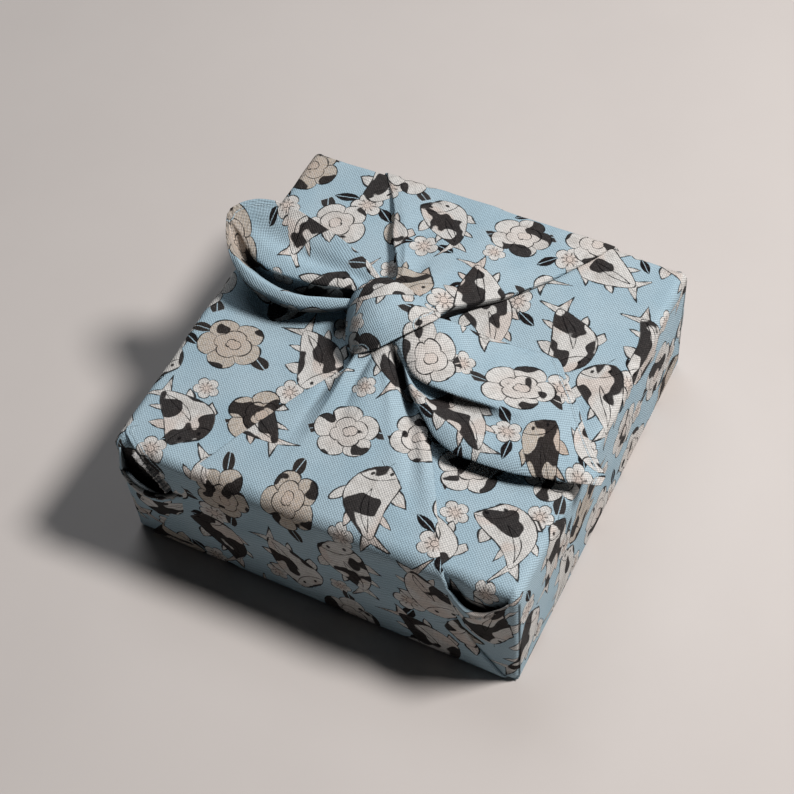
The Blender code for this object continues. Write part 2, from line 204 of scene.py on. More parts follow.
BACK_SURFACE = rows_of(
    Spot,
    (-74.0, 114.0, 89.4), (-35.0, 114.0, 89.9), (0.0, 114.0, 90.2), (35.0, 114.0, 89.9),
    (74.0, 114.0, 89.4), (-58.0, 95.0, 91.2), (-30.0, 95.0, 91.2), (0.0, 95.0, 91.8), (32.0, 95.0, 91.0),
    (64.0, 95.0, 90.0), (-44.0, 75.0, 93.0), (-26.0, 75.0, 93.0), (-6.0, 75.0, 94.2), (20.0, 75.0, 93.4),
    (47.0, 75.0, 91.0), (-33.0, 55.0, 96.0), (-18.0, 56.0, 96.4), (2.0, 56.0, 97.4), (16.0, 56.0, 96.0),
    (30.0, 56.0, 93.0), (-26.0, 42.0, 99.6), (-12.0, 42.0, 101.4), (4.0, 42.0, 101.0), (21.0, 42.0, 96.0),
    (-21.0, 30.0, 104.0), (-10.0, 29.0, 106.5), (0.0, 27.0, 106.0), (11.0, 28.0, 101.0),
    (-16.0, 16.0, 106.5), (5.0, 15.0, 105.0),
)
FRONT_FOLDS = (
    Fold(
        rows_of(
            FoldPlace,
            (-19.5, -18.0, 0.6, 2.4), (-20.5, -31.0, 2.7, 3.0), (-20.5, -46.0, 2.1, 3.6),
            (-21.5, -62.0, 1.4, 4.6), (-23.0, -92.0, 0.4, 8.0), (-24.0, -112.0, 0.0, 9.0),
        ),
        lean=-0.35,
        power=1.5,
    ),
    Fold(
        rows_of(
            FoldPlace,
            (-23.5, -27.0, -0.8, 2.4), (-25.5, -38.0, -2.6, 3.0), (-28.0, -56.0, -2.0, 4.2),
            (-32.0, -84.0, -0.3, 8.0),
        ),
        power=1.6,
    ),
    Fold(
        rows_of(
            FoldPlace,
            (-4.5, -9.0, -3.5, 2.4), (1.0, -14.0, -6.0, 2.9), (6.0, -19.0, -6.6, 3.1),
            (11.5, -25.0, -6.0, 3.3), (18.0, -33.0, -4.4, 3.5), (24.5, -42.0, -2.8, 3.8),
            (32.0, -56.0, -1.9, 4.2), (42.0, -76.0, -1.2, 5.5), (55.0, -100.0, -0.5, 8.0),
        ),
        power=2.6,
    ),
    Fold(
        rows_of(
            FoldPlace,
            (-6.0, -15.0, 0.3, 2.4), (-1.0, -23.0, 1.2, 3.0), (6.0, -33.0, 1.5, 3.5),
            (14.0, -46.0, 1.2, 4.5), (25.0, -66.0, 0.8, 6.0), (42.0, -95.0, 0.3, 9.0),
        ),
    ),
    Fold(
        rows_of(
            FoldPlace,
            (-11.5, -17.0, -1.0, 2.0), (-12.0, -28.0, -2.5, 2.6), (-12.0, -42.0, -2.1, 3.6),
            (-10.0, -60.0, -0.9, 5.0), (-8.0, -88.0, -0.2, 9.0),
        ),
        power=1.6,
    ),
    Fold(
        rows_of(
            FoldPlace,
            (22.0, -34.0, 1.0, 3.0), (33.0, -52.0, 1.8, 4.0), (44.0, -70.0, 1.2, 5.0),
            (60.0, -96.0, 0.4, 8.0),
        ),
    ),
)
BACK_FOLDS = (
    Fold(
        rows_of(
            FoldPlace,
            (-19.0, 30.0, 0.4, 2.6), (-22.5, 42.0, 1.4, 3.0), (-28.5, 56.0, 1.6, 3.4),
            (-38.0, 75.0, 1.2, 4.5), (-52.0, 98.0, 0.5, 7.0),
        ),
        lean=-0.3,
        power=1.6,
    ),
    Fold(
        rows_of(
            FoldPlace,
            (-12.0, 31.0, -0.6, 2.6), (-15.0, 46.0, -1.1, 4.0), (-20.0, 66.0, -0.6, 6.5),
            (-28.0, 96.0, -0.2, 10.0),
        ),
    ),
    Fold(
        rows_of(
            FoldPlace,
            (5.0, 28.0, 0.6, 3.0), (10.0, 42.0, 1.2, 4.0), (20.0, 60.0, 0.9, 5.5), (38.0, 86.0, 0.4, 9.0),
        ),
    ),
)
RIGHT_FRONT_LIP = rows_of(
    Lip,
    (0.0, 84.0, 0.0), (3.0, 83.5, 0.4), (8.0, 76.5, 2.4), (15.0, 69.0, 4.8), (21.0, 66.0, 5.6),
    (28.0, 67.0, 5.6), (34.0, 71.0, 3.8), (39.0, 75.0, 1.8), (46.0, 80.0, 0.0), (60.0, 82.0, 0.0),
    (72.0, 82.0, 0.0),
)
LEFT_FRONT_LIP = rows_of(
    Lip,
    (0.0, 83.0, 0.0), (2.0, 75.0, 2.6), (5.0, 66.5, 5.0), (10.0, 61.5, 7.2), (20.0, 57.0, 8.0),
    (31.0, 56.0, 5.6), (41.0, 60.0, 1.4), (56.0, 70.0, 0.0), (72.0, 76.0, 0.0),
)
BACK_LIP = rows_of(
    Lip,
    (0.0, 82.0, 0.0), (8.0, 80.0, 0.8), (17.0, 75.0, 3.0), (28.0, 74.0, 3.5), (37.0, 78.0, 1.5),
    (46.0, 81.0, 0.0), (60.0, 82.0, 0.0), (72.0, 82.0, 0.0),
)
FLAP_HEM = rows_of(
    HemPlace,
    (0.0, -112.0), (30.0, -113.5), (38.0, -115.5), (41.5, -114.0), (44.5, -110.0), (48.0, -105.0),
    (51.5, -100.0), (58.0, -94.0), (69.0, -87.5), (80.0, -83.5),
)
INNER_EDGE = rows_of(
    EdgeTop,
    (-114.5, 63.5), (-112.0, 65.5), (-109.0, 66.5), (-104.0, 63.0), (-97.0, 58.5), (-90.0, 53.0),
)
ACROSS_LEFT = (0.0, 0.142, 0.276, 0.378, 0.464, 0.566, 0.636, 0.723, 0.845, 0.912, 1.0)
LEFT_TAIL = rows_of(
    TailRow,
    (-24.0, (
        (24.0, 107.5), (21.5, 106.8), (18.5, 105.2), (15.5, 104.6), (13.0, 103.2), (14.0, 98.5),
        (11.4, 95.8), (9.4, 98.2), (8.0, 101.5), (5.5, 100.5), (5.0, 98.0),
    )),
    (-38.0, (
        (32.0, 110.5), (27.0, 109.0), (22.0, 106.4), (18.0, 106.8), (14.5, 104.8), (17.0, 97.8),
        (13.2, 94.0), (10.8, 98.0), (9.0, 103.8), (5.8, 102.0), (5.6, 97.8),
    )),
    (-50.0, (
        (36.0, 113.0), (29.0, 110.4), (22.5, 107.0), (17.0, 108.2), (12.2, 105.8), (15.4, 97.4),
        (10.2, 93.2), (6.2, 98.2), (3.0, 105.3), (-0.8, 102.5), (-0.6, 97.5),
    )),
    (-64.0, (
        (39.0, 116.5), (30.0, 112.2), (22.0, 107.4), (15.0, 109.0), (9.0, 106.2), (12.4, 98.0),
        (6.8, 93.4), (2.4, 100.4), (-3.5, 107.2), (-6.8, 104.0), (-6.0, 98.0),
    )),
    (-80.0, (
        (41.5, 120.0), (32.0, 115.6), (22.5, 110.0), (14.5, 110.8), (7.2, 107.6), (10.4, 99.4),
        (5.4, 94.6), (1.6, 102.4), (-4.4, 109.0), (-8.0, 106.0), (-7.5, 99.8),
    )),
    (-94.0, (
        (43.0, 122.0), (34.0, 118.2), (24.5, 112.6), (15.5, 112.4), (8.4, 109.4), (10.6, 102.4),
        (6.2, 98.0), (2.8, 105.0), (-2.6, 111.0), (-6.2, 108.0), (-6.0, 102.5),
    )),
    (-105.0, (
        (42.0, 122.8), (34.0, 119.6), (26.0, 115.2), (19.5, 113.8), (13.6, 111.4), (13.6, 105.6),
        (9.8, 102.0), (6.4, 107.0), (2.0, 113.0), (-1.2, 110.0), (-0.5, 106.5),
    )),
    (-114.0, (
        (38.5, 123.0), (32.5, 120.8), (27.0, 118.0), (22.5, 115.9), (19.6, 114.6), (18.0, 110.6),
        (14.6, 108.2), (11.4, 111.4), (9.0, 115.5), (6.2, 114.0), (7.0, 111.5),
    )),
    (-120.5, (
        (32.5, 122.6), (29.5, 121.4), (26.8, 120.4), (24.6, 119.4), (23.0, 118.8), (21.8, 117.6),
        (20.4, 116.6), (19.0, 117.6), (18.0, 119.0), (16.4, 118.2), (17.2, 117.0),
    )),
    (-123.5, (
        (28.0, 121.8), (27.5, 121.7), (27.0, 121.5), (26.5, 121.3), (26.1, 121.2), (25.7, 121.1),
        (25.3, 120.9), (25.0, 120.85), (24.7, 120.8), (24.2, 120.5), (24.0, 120.2),
    )),
)
ACROSS_RIGHT = (0.0, 0.172, 0.340, 0.458, 0.52, 0.572, 0.613, 0.695, 0.808, 0.919, 1.0)
RIGHT_TAIL = rows_of(
    TailRow,
    (-8.0, (
        (8.0, 102.6), (3.5, 103.1), (0.0, 102.8), (-3.0, 101.8), (-4.4, 101.0), (-4.8, 100.3),
        (-5.1, 99.8), (-5.4, 99.2), (-5.7, 98.4), (-5.9, 97.0), (-4.5, 95.0),
    )),
    (0.0, (
        (11.0, 105.0), (5.0, 105.6), (-1.0, 105.2), (-6.5, 103.9), (-9.0, 102.6), (-9.6, 101.8),
        (-10.1, 101.2), (-10.6, 100.6), (-11.0, 99.8), (-11.2, 98.0), (-9.5, 95.0),
    )),
    (7.0, (
        (13.0, 106.2), (5.5, 106.2), (-3.5, 105.0), (-11.5, 103.6), (-15.0, 102.2), (-15.6, 101.2),
        (-16.1, 100.6), (-16.6, 100.1), (-17.0, 99.4), (-17.3, 97.8), (-15.5, 94.5),
    )),
    (15.0, (
        (15.4, 106.2), (6.0, 106.0), (-6.0, 105.0), (-16.5, 104.6), (-21.6, 102.0), (-20.6, 98.4),
        (-22.4, 96.6), (-24.0, 98.2), (-26.0, 100.2), (-28.2, 98.4), (-26.0, 95.0),
    )),
    (26.0, (
        (18.4, 102.6), (6.0, 103.2), (-6.0, 102.6), (-17.5, 103.4), (-24.2, 101.2), (-22.0, 95.6),
        (-25.8, 93.6), (-29.6, 97.0), (-34.2, 101.2), (-38.6, 98.0), (-33.5, 93.6),
    )),
    (40.0, (
        (20.8, 96.6), (6.0, 98.6), (-8.0, 99.6), (-18.5, 101.6), (-24.4, 100.0), (-22.0, 94.8),
        (-26.2, 93.0), (-32.5, 97.0), (-41.5, 101.4), (-50.0, 97.0), (-44.5, 92.8),
    )),
    (54.0, (
        (24.6, 92.2), (9.0, 95.6), (-4.0, 97.4), (-15.0, 99.4), (-22.4, 99.0), (-21.6, 95.0),
        (-25.8, 93.6), (-33.0, 97.2), (-46.2, 101.2), (-55.4, 96.2), (-49.5, 92.2),
    )),
    (68.0, (
        (26.8, 90.7), (11.0, 93.6), (-1.0, 95.2), (-12.0, 96.4), (-19.5, 96.8), (-22.4, 95.0),
        (-26.0, 94.6), (-33.5, 97.2), (-47.8, 100.4), (-56.2, 95.6), (-50.0, 91.8),
    )),
    (80.0, (
        (26.0, 90.2), (12.0, 92.6), (0.0, 94.0), (-10.5, 95.0), (-18.5, 95.5), (-22.0, 95.5),
        (-26.0, 95.7), (-33.5, 97.4), (-47.0, 99.6), (-55.4, 95.2), (-49.5, 91.6),
    )),
    (88.0, (
        (17.2, 90.2), (6.5, 92.0), (-2.5, 93.4), (-11.5, 94.5), (-19.0, 95.4), (-22.5, 95.8),
        (-26.2, 96.3), (-33.2, 97.6), (-46.2, 99.1), (-54.0, 95.0), (-48.5, 91.6),
    )),
    (97.0, (
        (7.0, 90.4), (-1.5, 92.0), (-9.0, 93.4), (-16.5, 94.5), (-22.8, 95.5), (-26.0, 95.9),
        (-29.2, 96.4), (-35.0, 97.3), (-44.8, 98.6), (-52.0, 95.0), (-47.0, 91.8),
    )),
    (111.0, (
        (-11.0, 91.0), (-16.4, 92.3), (-21.2, 93.4), (-26.0, 94.4), (-30.0, 95.2), (-32.4, 95.6),
        (-34.6, 96.0), (-38.0, 96.6), (-43.0, 97.4), (-48.6, 94.8), (-44.5, 92.0),
    )),
    (122.0, (
        (-24.0, 92.0), (-27.2, 92.8), (-30.2, 93.6), (-33.0, 94.3), (-35.2, 94.9), (-36.6, 95.2),
        (-37.8, 95.5), (-39.6, 95.8), (-42.2, 96.2), (-45.4, 94.6), (-43.0, 92.6),
    )),
    (132.5, (
        (-35.4, 93.2), (-36.2, 93.4), (-37.0, 93.7), (-37.7, 93.9), (-38.3, 94.1), (-38.8, 94.3),
        (-39.3, 94.45), (-39.9, 94.6), (-40.6, 94.7), (-42.0, 94.3), (-41.4, 93.6),
    )),
)
KNOT_RIM = rows_of(
    RimSpot,
    (12.6, 16.2, 108.2, 0.08), (11.6, 11.4, 109.2, 0.08), (7.4, 5.4, 109.8, 0.1), (2.2, -1.8, 109.6, 0.12),
    (-3.2, -8.6, 108.4, 0.2), (-8.8, -14.6, 106.2, 0.4), (-15.0, -17.6, 103.0, 0.6),
    (-21.2, -18.6, 98.6, 0.8), (-28.8, -13.4, 95.0, 1.0), (-34.0, -5.4, 95.6, 1.0),
    (-37.0, 2.7, 99.6, 0.95), (-38.1, 10.3, 103.6, 0.85), (-36.5, 17.7, 106.8, 0.7),
    (-31.0, 22.7, 109.4, 0.6), (-24.0, 26.0, 110.6, 0.6), (-14.0, 25.2, 110.8, 0.55),
    (-5.0, 22.6, 109.6, 0.5), (3.5, 20.4, 107.8, 0.3), (9.6, 18.9, 106.9, 0.15),
)


def soft_step(values: Numbers, start: float, end: float) -> Numbers:
    """A soft step.

    Args:
        values: Where it is read.
        start: Where it is still 0.
        end: Where it has reached 1.

    Returns:
        Shares from 0 to 1.
    """
    share = np.clip((np.asarray(values, float) - start) / (end - start), 0.0, 1.0)
    return share * share * (3.0 - 2.0 * share)


def along_curve(keys: Sequence[float], values: Sequence, at: Numbers) -> Numbers:
    """The smooth curve through a table's column.

    Args:
        keys: Rising keys of the table.
        values: A number or a row of numbers at each key.
        at: Where the curve is read.

    Returns:
        One value or row for each place.
    """
    keys = np.asarray(keys, float)
    values = np.asarray(values, float)
    at = np.atleast_1d(np.asarray(at, float))
    slopes = np.gradient(values, keys, axis=0)
    cell = np.clip(np.searchsorted(keys, at) - 1, 0, len(keys) - 2)
    width = keys[cell + 1] - keys[cell]
    share = np.clip((at - keys[cell]) / width, 0.0, 1.0)
    if values.ndim > 1:
        width, share = width[:, None], share[:, None]
    square, cube = share**2, share**3
    return (
        (2 * cube - 3 * square + 1) * values[cell]
        + (cube - 2 * square + share) * width * slopes[cell]
        + (3 * square - 2 * cube) * values[cell + 1]
        + (cube - square) * width * slopes[cell + 1]
    )


def lip_at(lips: Sequence[Lip], reach: Numbers) -> Numbers:
    """Height and bulge of a lip at distances from its corner, as columns."""
    return along_curve([lip.reach for lip in lips], [(lip.height, lip.bulge) for lip in lips], reach)


def hem_at(gone: Numbers) -> Numbers:
    """The x of the corner flap's hem at each way over the edge."""
    return along_curve([hem.gone for hem in FLAP_HEM], [hem.x for hem in FLAP_HEM], gone)


def walked(spots: Numbers) -> Numbers:
    """Way gone along a line of points, from 0 at the first."""
    return np.concatenate([[0.0], np.cumsum(np.linalg.norm(np.diff(spots, axis=0), axis=1))])


def edge_places(points: Numbers, edge: Numbers, run: Numbers) -> Numbers:
    """How each point of a grid lies to an edge.

    Args:
        points: Rows by columns by three.
        edge: Points of the edge.
        run: Way along the edge at each of them.

    Returns:
        Rows by columns by two: the distance from the edge and the way along it.
    """
    gaps = np.linalg.norm(points.reshape(-1, 3)[:, None, :] - edge[None, :, :], axis=2)
    return np.column_stack([gaps.min(axis=1), run[gaps.argmin(axis=1)]]).reshape(*points.shape[:2], 2)


def arc(centre: tuple[float, float], radius: float, start: float, end: float, steps: int) -> list:
    """Points on an arc.

    Args:
        centre: Its centre in the plane.
        radius: Its radius.
        start: First angle in degrees.
        end: Last angle in degrees.
        steps: Number of equal steps.

    Returns:
        The points, both ends included.
    """
    turns = [math.radians(start + (end - start) * step / steps) for step in range(steps + 1)]
    return [(centre[0] + radius * math.cos(turn), centre[1] + radius * math.sin(turn)) for turn in turns]


def soft_noise(points: Numbers, length: float, seed: int, waves: int = 7) -> Numbers:
    """Smooth uneven waves through space.

    Args:
        points: Places, in millimetres.
        length: Usual length of a wave.
        seed: Picks the set of waves.
        waves: How many waves are added.

    Returns:
        A value for each place, mostly from -1 to 1.
    """
    draw = np.random.default_rng(seed)
    total = np.zeros(len(points))
    for _ in range(waves):
        way = draw.normal(size=points.shape[1])
        way *= 2.0 * math.pi / (length * draw.uniform(0.6, 1.5) * np.linalg.norm(way))
        total += np.sin(points @ way + draw.uniform(0.0, 2.0 * math.pi))
    return total / math.sqrt(waves)


def crease_heights(points: Numbers, creases: Iterable[Crease]) -> Numbers:
    """What the creases add to a surface.

    Args:
        points: Places, in millimetres.
        creases: The creases.

    Returns:
        A height along the surface's normal for each place.
    """
    total = np.zeros(len(points))
    for crease in creases:
        start, end = np.array(crease.start), np.array(crease.end)
        way = end - start
        share = np.clip((points - start) @ way / (way @ way), 0.0, 1.0)
        gap = np.linalg.norm(points - (start + share[:, None] * way), axis=1)
        fade = np.sqrt(np.clip(4.0 * share * (1.0 - share), 0.0, 1.0))
        total += crease.height * fade * np.exp(-((gap / crease.width) ** 2))
    return total


class ClothMesh:
    """Collects the points and faces of one sheet's outer surface."""

    def __init__(self) -> None:
        self.points: list[tuple] = []
        self.places: list[tuple] = []
        self.hems: list[tuple] = []
        self.faces: list[list[int]] = []

    def grid(
        self,
        points: Numbers,
        places: Numbers,
        hems: Optional[Numbers] = None,
        turned: bool = False,
        ring: bool = False,
    ) -> None:
        """Add a full grid of points.

        Args:
            points: Rows by columns by three.
            places: The flat cloth's two coordinates for each point, and the painted shade it gets deep in a
                fold, from 0 to 1.
            hems: Distance from the hem's edge and way along it, or none.
            turned: Turns the faces over.
            ring: Joins the last column to the first.
        """
        rows, columns = points.shape[:2]
        base = len(self.points)
        if hems is None:
            hems = np.full((rows, columns, 2), FAR_FROM_HEM)
        self.points += [tuple(point) for point in points.reshape(-1, 3)]
        self.places += [tuple(place) for place in places.reshape(-1, places.shape[-1])]
        self.hems += [tuple(hem) for hem in hems.reshape(-1, 2)]
        for row in range(rows - 1):
            for column in range(columns if ring else columns - 1):
                after = (column + 1) % columns
                face = [
                    base + row * columns + column,
                    base + row * columns + after,
                    base + (row + 1) * columns + after,
                    base + (row + 1) * columns + column,
                ]
                self.faces.append(face[::-1] if turned else face)

    def cap(self, count: int, point: Numbers, place: tuple[float, float]) -> None:
        """Close the first row of a ring that was added first.

        Args:
            count: Points in the row.
            point: The middle point.
            place: Its flat place.
        """
        middle = len(self.points)
        self.points.append(tuple(point))
        self.places.append(tuple(place))
        self.hems.append((FAR_FROM_HEM, 0.0))
        for column in range(count):
            self.faces.append([middle, (column + 1) % count, column])

    def keyed(self, table: dict, faces: Iterable[Sequence], turned: bool = False) -> None:
        """Add points that are named by keys.

        Args:
            table: Key to (point, flat place, hem).
            faces: Corner keys of each face; one with a missing key is left out.
            turned: Turns the faces over.
        """
        index = {}
        for key, (point, place, hem) in table.items():
            index[key] = len(self.points)
            self.points.append(tuple(point))
            self.places.append(tuple(place))
            self.hems.append(tuple(hem))
        for corners in faces:
            if all(corner in index for corner in corners):
                face = [index[corner] for corner in corners]
                self.faces.append(face[::-1] if turned else face)

    def to_object(
        self,
        name: str,
        finishes: Sequence[bpy.types.Material],
        lift: Optional[Callable[[Numbers], Numbers]] = None,
        thickness: float = SHEET,
    ) -> bpy.types.Object:
        """Make the object, thickened inwards.

        Args:
            name: The piece's name.
            finishes: Its outer and its inner finish.
            lift: Height along the normal at each point, or none.
            thickness: The sheet's thickness, or 0 for a closed form.

        Returns:
            The new object.
        """
        mesh = bpy.data.meshes.new(name)
        mesh.from_pydata([Vector(point) * MM for point in self.points], [], self.faces)
        # cloth_place holds the flat cloth's coordinates and, third, the painted shade of folds.
        for label, rows in (("cloth_place", self.places), ("hem_place", self.hems)):
            numbers = np.array([(*row, 0.0)[:3] for row in rows], np.float32)
            mesh.attributes.new(label, "FLOAT_VECTOR", "POINT").data.foreach_set("vector", numbers.ravel())
        work = bmesh.new()
        work.from_mesh(mesh)
        bmesh.ops.remove_doubles(work, verts=work.verts, dist=0.04 * MM)
        bmesh.ops.dissolve_degenerate(work, edges=work.edges, dist=0.01 * MM)
        for face in work.faces:
            face.smooth = True
        work.to_mesh(mesh)
        work.free()
        if lift is not None:
            self.lift(mesh, lift)
        piece = bpy.data.objects.new(name, mesh)
        bpy.context.collection.objects.link(piece)
        for finish in finishes:
            mesh.materials.append(finish)
        if thickness > 0.0:
            solid = piece.modifiers.new("Thickness", "SOLIDIFY")
            solid.thickness = thickness * MM
            solid.offset = -1.0
            solid.use_quality_normals = True
            solid.material_offset = len(finishes) - 1
            solid.material_offset_rim = 0
        return piece

    @staticmethod
    def lift(mesh: bpy.types.Mesh, height: Callable[[Numbers], Numbers]) -> None:
        """Move points along their normals."""
        points, normals = (np.zeros(len(mesh.vertices) * 3) for _ in range(2))
        mesh.vertices.foreach_get("co", points)
        mesh.vertices.foreach_get("normal", normals)
        points = points.reshape(-1, 3) / MM
        raised = points + normals.reshape(-1, 3) * height(points)[:, None]
        mesh.vertices.foreach_set("co", (raised * MM).ravel())
        mesh.update()


class Plate:
    """A smooth height over a plane that passes through measured spots.

    It bends as a thin plate does, so it stays soft between the spots.
    """

    def __init__(self, spots: Sequence[Spot]) -> None:
        self.centres = np.array([(spot.x, spot.y) for spot in spots])
        count = len(spots)
        gaps = np.linalg.norm(self.centres[:, None] - self.centres[None], axis=2)
        system = np.zeros((count + 3, count + 3))
        system[:count, :count] = self.bend(gaps)
        system[:count, count] = 1.0
        system[:count, count + 1:] = self.centres
        system[count:, :count] = system[:count, count:].T
        known = np.concatenate([[spot.z for spot in spots], np.zeros(3)])
        self.weights = np.linalg.solve(system, known)

    @staticmethod
    def bend(gaps: Numbers) -> Numbers:
        """The plate's answer to a load at each distance."""
        safe = np.maximum(gaps, 1e-9)
        return safe**2 * np.log(safe)

    def height(self, x: Numbers, y: Numbers) -> Numbers:
        """Height at each place of a row."""
        gaps = np.hypot(x[:, None] - self.centres[None, :, 0], y[:, None] - self.centres[None, :, 1])
        loads = self.bend(gaps) @ self.weights[:-3]
        return loads + self.weights[-3] + self.weights[-2] * x + self.weights[-1] * y


class Web:
    """A material's node tree."""

    def __init__(self, name: str) -> None:
        self.material = bpy.data.materials.new(name)
        self.material.use_nodes = True
        self.tree = self.material.node_tree
        self.tree.nodes.clear()

    def add(self, kind: str, settings: Optional[dict] = None, sockets: Optional[dict] = None) -> "Made":
        """Make a node.

        Args:
            kind: The node's type.
            settings: Its own settings.
            sockets: Values or wires of its inputs, by name or number.

        Returns:
            The node.
        """
        node = self.tree.nodes.new(kind)
        for name, value in (settings or {}).items():
            setattr(node, name, value)
        for name, value in (sockets or {}).items():
            if isinstance(value, Wire):
                self.tree.links.new(value.socket, node.inputs[name])
            else:
                node.inputs[name].default_value = value
        return Made(self, node)

    def mixed(self, factor: Value, first: Value, second: Value) -> "Wire":
        """Mix of two colours."""
        return self.add("ShaderNodeMix", {"data_type": "RGBA"}, {0: factor, 6: first, 7: second}).out(2)

    def noise(self, place: "Wire", scale: float, detail: float = 2.0, rough: float = 0.5) -> "Wire":
        """A noise value, about 0.5."""
        sockets = {"Vector": place, "Scale": scale, "Detail": detail, "Roughness": rough}
        return self.add("ShaderNodeTexNoise", {}, sockets).out(0)

    def vector(self, x: Value, y: Value, z: Value = 0.0) -> "Wire":
        """Three numbers as a vector."""
        return self.add("ShaderNodeCombineXYZ", {}, {0: x, 1: y, 2: z}).out(0)

    def parts(self, vector: "Wire") -> tuple["Wire", "Wire", "Wire"]:
        """A vector as three numbers."""
        split = self.add("ShaderNodeSeparateXYZ", {}, {0: vector})
        return split.out(0), split.out(1), split.out(2)

    def bump(self, height: "Wire", strength: float, distance: float) -> "Wire":
        """A normal that a height raises, with its distance in metres."""
        sockets = {"Strength": strength, "Distance": distance, "Height": height}
        return self.add("ShaderNodeBump", {}, sockets).out()

    def surface(self, sockets: dict) -> bpy.types.Material:
        """Join one plain shader to the output.

        Args:
            sockets: Values or wires of the shader's inputs.

        Returns:
            The finished material.
        """
        shader = self.add("ShaderNodeBsdfPrincipled", {}, sockets).out()
        self.add("ShaderNodeOutputMaterial", {}, {"Surface": shader})
        return self.material


class Made:
    """A node that was made, for its outputs."""

    def __init__(self, web: Web, node: bpy.types.Node) -> None:
        self.web = web
        self.node = node

    def out(self, name: Union[int, str] = 0) -> "Wire":
        """One output as a wire."""
        return Wire(self.web, self.node.outputs[name])


class Wire:
    """An output socket that takes part in sums."""

    def __init__(self, web: Web, socket: bpy.types.NodeSocket) -> None:
        self.web = web
        self.socket = socket

    def sum(self, operation: str, *others: Value, clamp: bool = False) -> "Wire":
        """Add a Math node.

        Args:
            operation: The node's operation.
            others: Its other values, in order.
            clamp: Keeps the result from 0 to 1.

        Returns:
            Its result.
        """
        values = dict(enumerate((self, *others)))
        return self.web.add("ShaderNodeMath", {"operation": operation, "use_clamp": clamp}, values).out()

    def __add__(self, other: Value) -> "Wire":
        return self.sum("ADD", other)

    __radd__ = __add__

    def __mul__(self, other: Value) -> "Wire":
        return self.sum("MULTIPLY", other)

    __rmul__ = __mul__

    def __sub__(self, other: Value) -> "Wire":
        return self.sum("SUBTRACT", other)

    def __rsub__(self, other: Value) -> "Wire":
        return self.web.add("ShaderNodeMath", {"operation": "SUBTRACT"}, {0: other, 1: self}).out()

    def __truediv__(self, other: Value) -> "Wire":
        return self.sum("DIVIDE", other)

    def __pow__(self, other: Value) -> "Wire":
        return self.sum("POWER", other)

    def __abs__(self) -> "Wire":
        return self.sum("ABSOLUTE")

    def __neg__(self) -> "Wire":
        return self.sum("MULTIPLY", -1.0)

    def __mod__(self, other: Value) -> "Wire":
        return self.sum("FLOORED_MODULO", other)

    def lowest(self, other: Value) -> "Wire":
        """The smaller of two."""
        return self.sum("MINIMUM", other)

    def highest(self, other: Value) -> "Wire":
        """The larger of two."""
        return self.sum("MAXIMUM", other)

    def angle_to(self, across: "Wire") -> "Wire":
        """Angle of the point that has this wire as its height."""
        return self.sum("ARCTAN2", across)

    def sine(self) -> "Wire":
        """Its sine."""
        return self.sum("SINE")

    def cosine(self) -> "Wire":
        """Its cosine."""
        return self.sum("COSINE")

    def floor(self) -> "Wire":
        """Rounded down."""
        return self.sum("FLOOR")

    def above(self, level: Value) -> "Wire":
        """1 where it is above a level."""
        return self.sum("GREATER_THAN", level)

    def clamped(self) -> "Wire":
        """Kept from 0 to 1."""
        return self.sum("ADD", 0.0, clamp=True)

    def step(self, start: float, end: float) -> "Wire":
        """A soft step from 0 at start to 1 at end."""
        settings = {"interpolation_type": "SMOOTHSTEP", "clamp": True}
        low, high, first, last = (start, end, 0.0, 1.0) if start < end else (end, start, 1.0, 0.0)
        sockets = {0: self, 1: low, 2: high, 3: first, 4: last}
        return self.web.add("ShaderNodeMapRange", settings, sockets).out()

    def line(self, width: float, soft: float = 0.22) -> "Wire":
        """A thin line where it is near 0."""
        return abs(self).step(width + soft, width)


def length_of(x: Wire, y: Wire) -> Wire:
    """Length of a pair of wires."""
    return (x * x + y * y).sum("SQRT")


def turned(x: Wire, y: Wire, angle: Value) -> tuple[Wire, Wire]:
    """A pair of wires turned by an angle.

    Args:
        x: First coordinate.
        y: Second coordinate.
        angle: A number of radians or a wire.

    Returns:
        The turned pair.
    """
    if isinstance(angle, Wire):
        cosine, sine = angle.cosine(), angle.sine()
    else:
        cosine, sine = math.cos(angle), math.sin(angle)
    return x * cosine + y * sine, y * cosine - x * sine


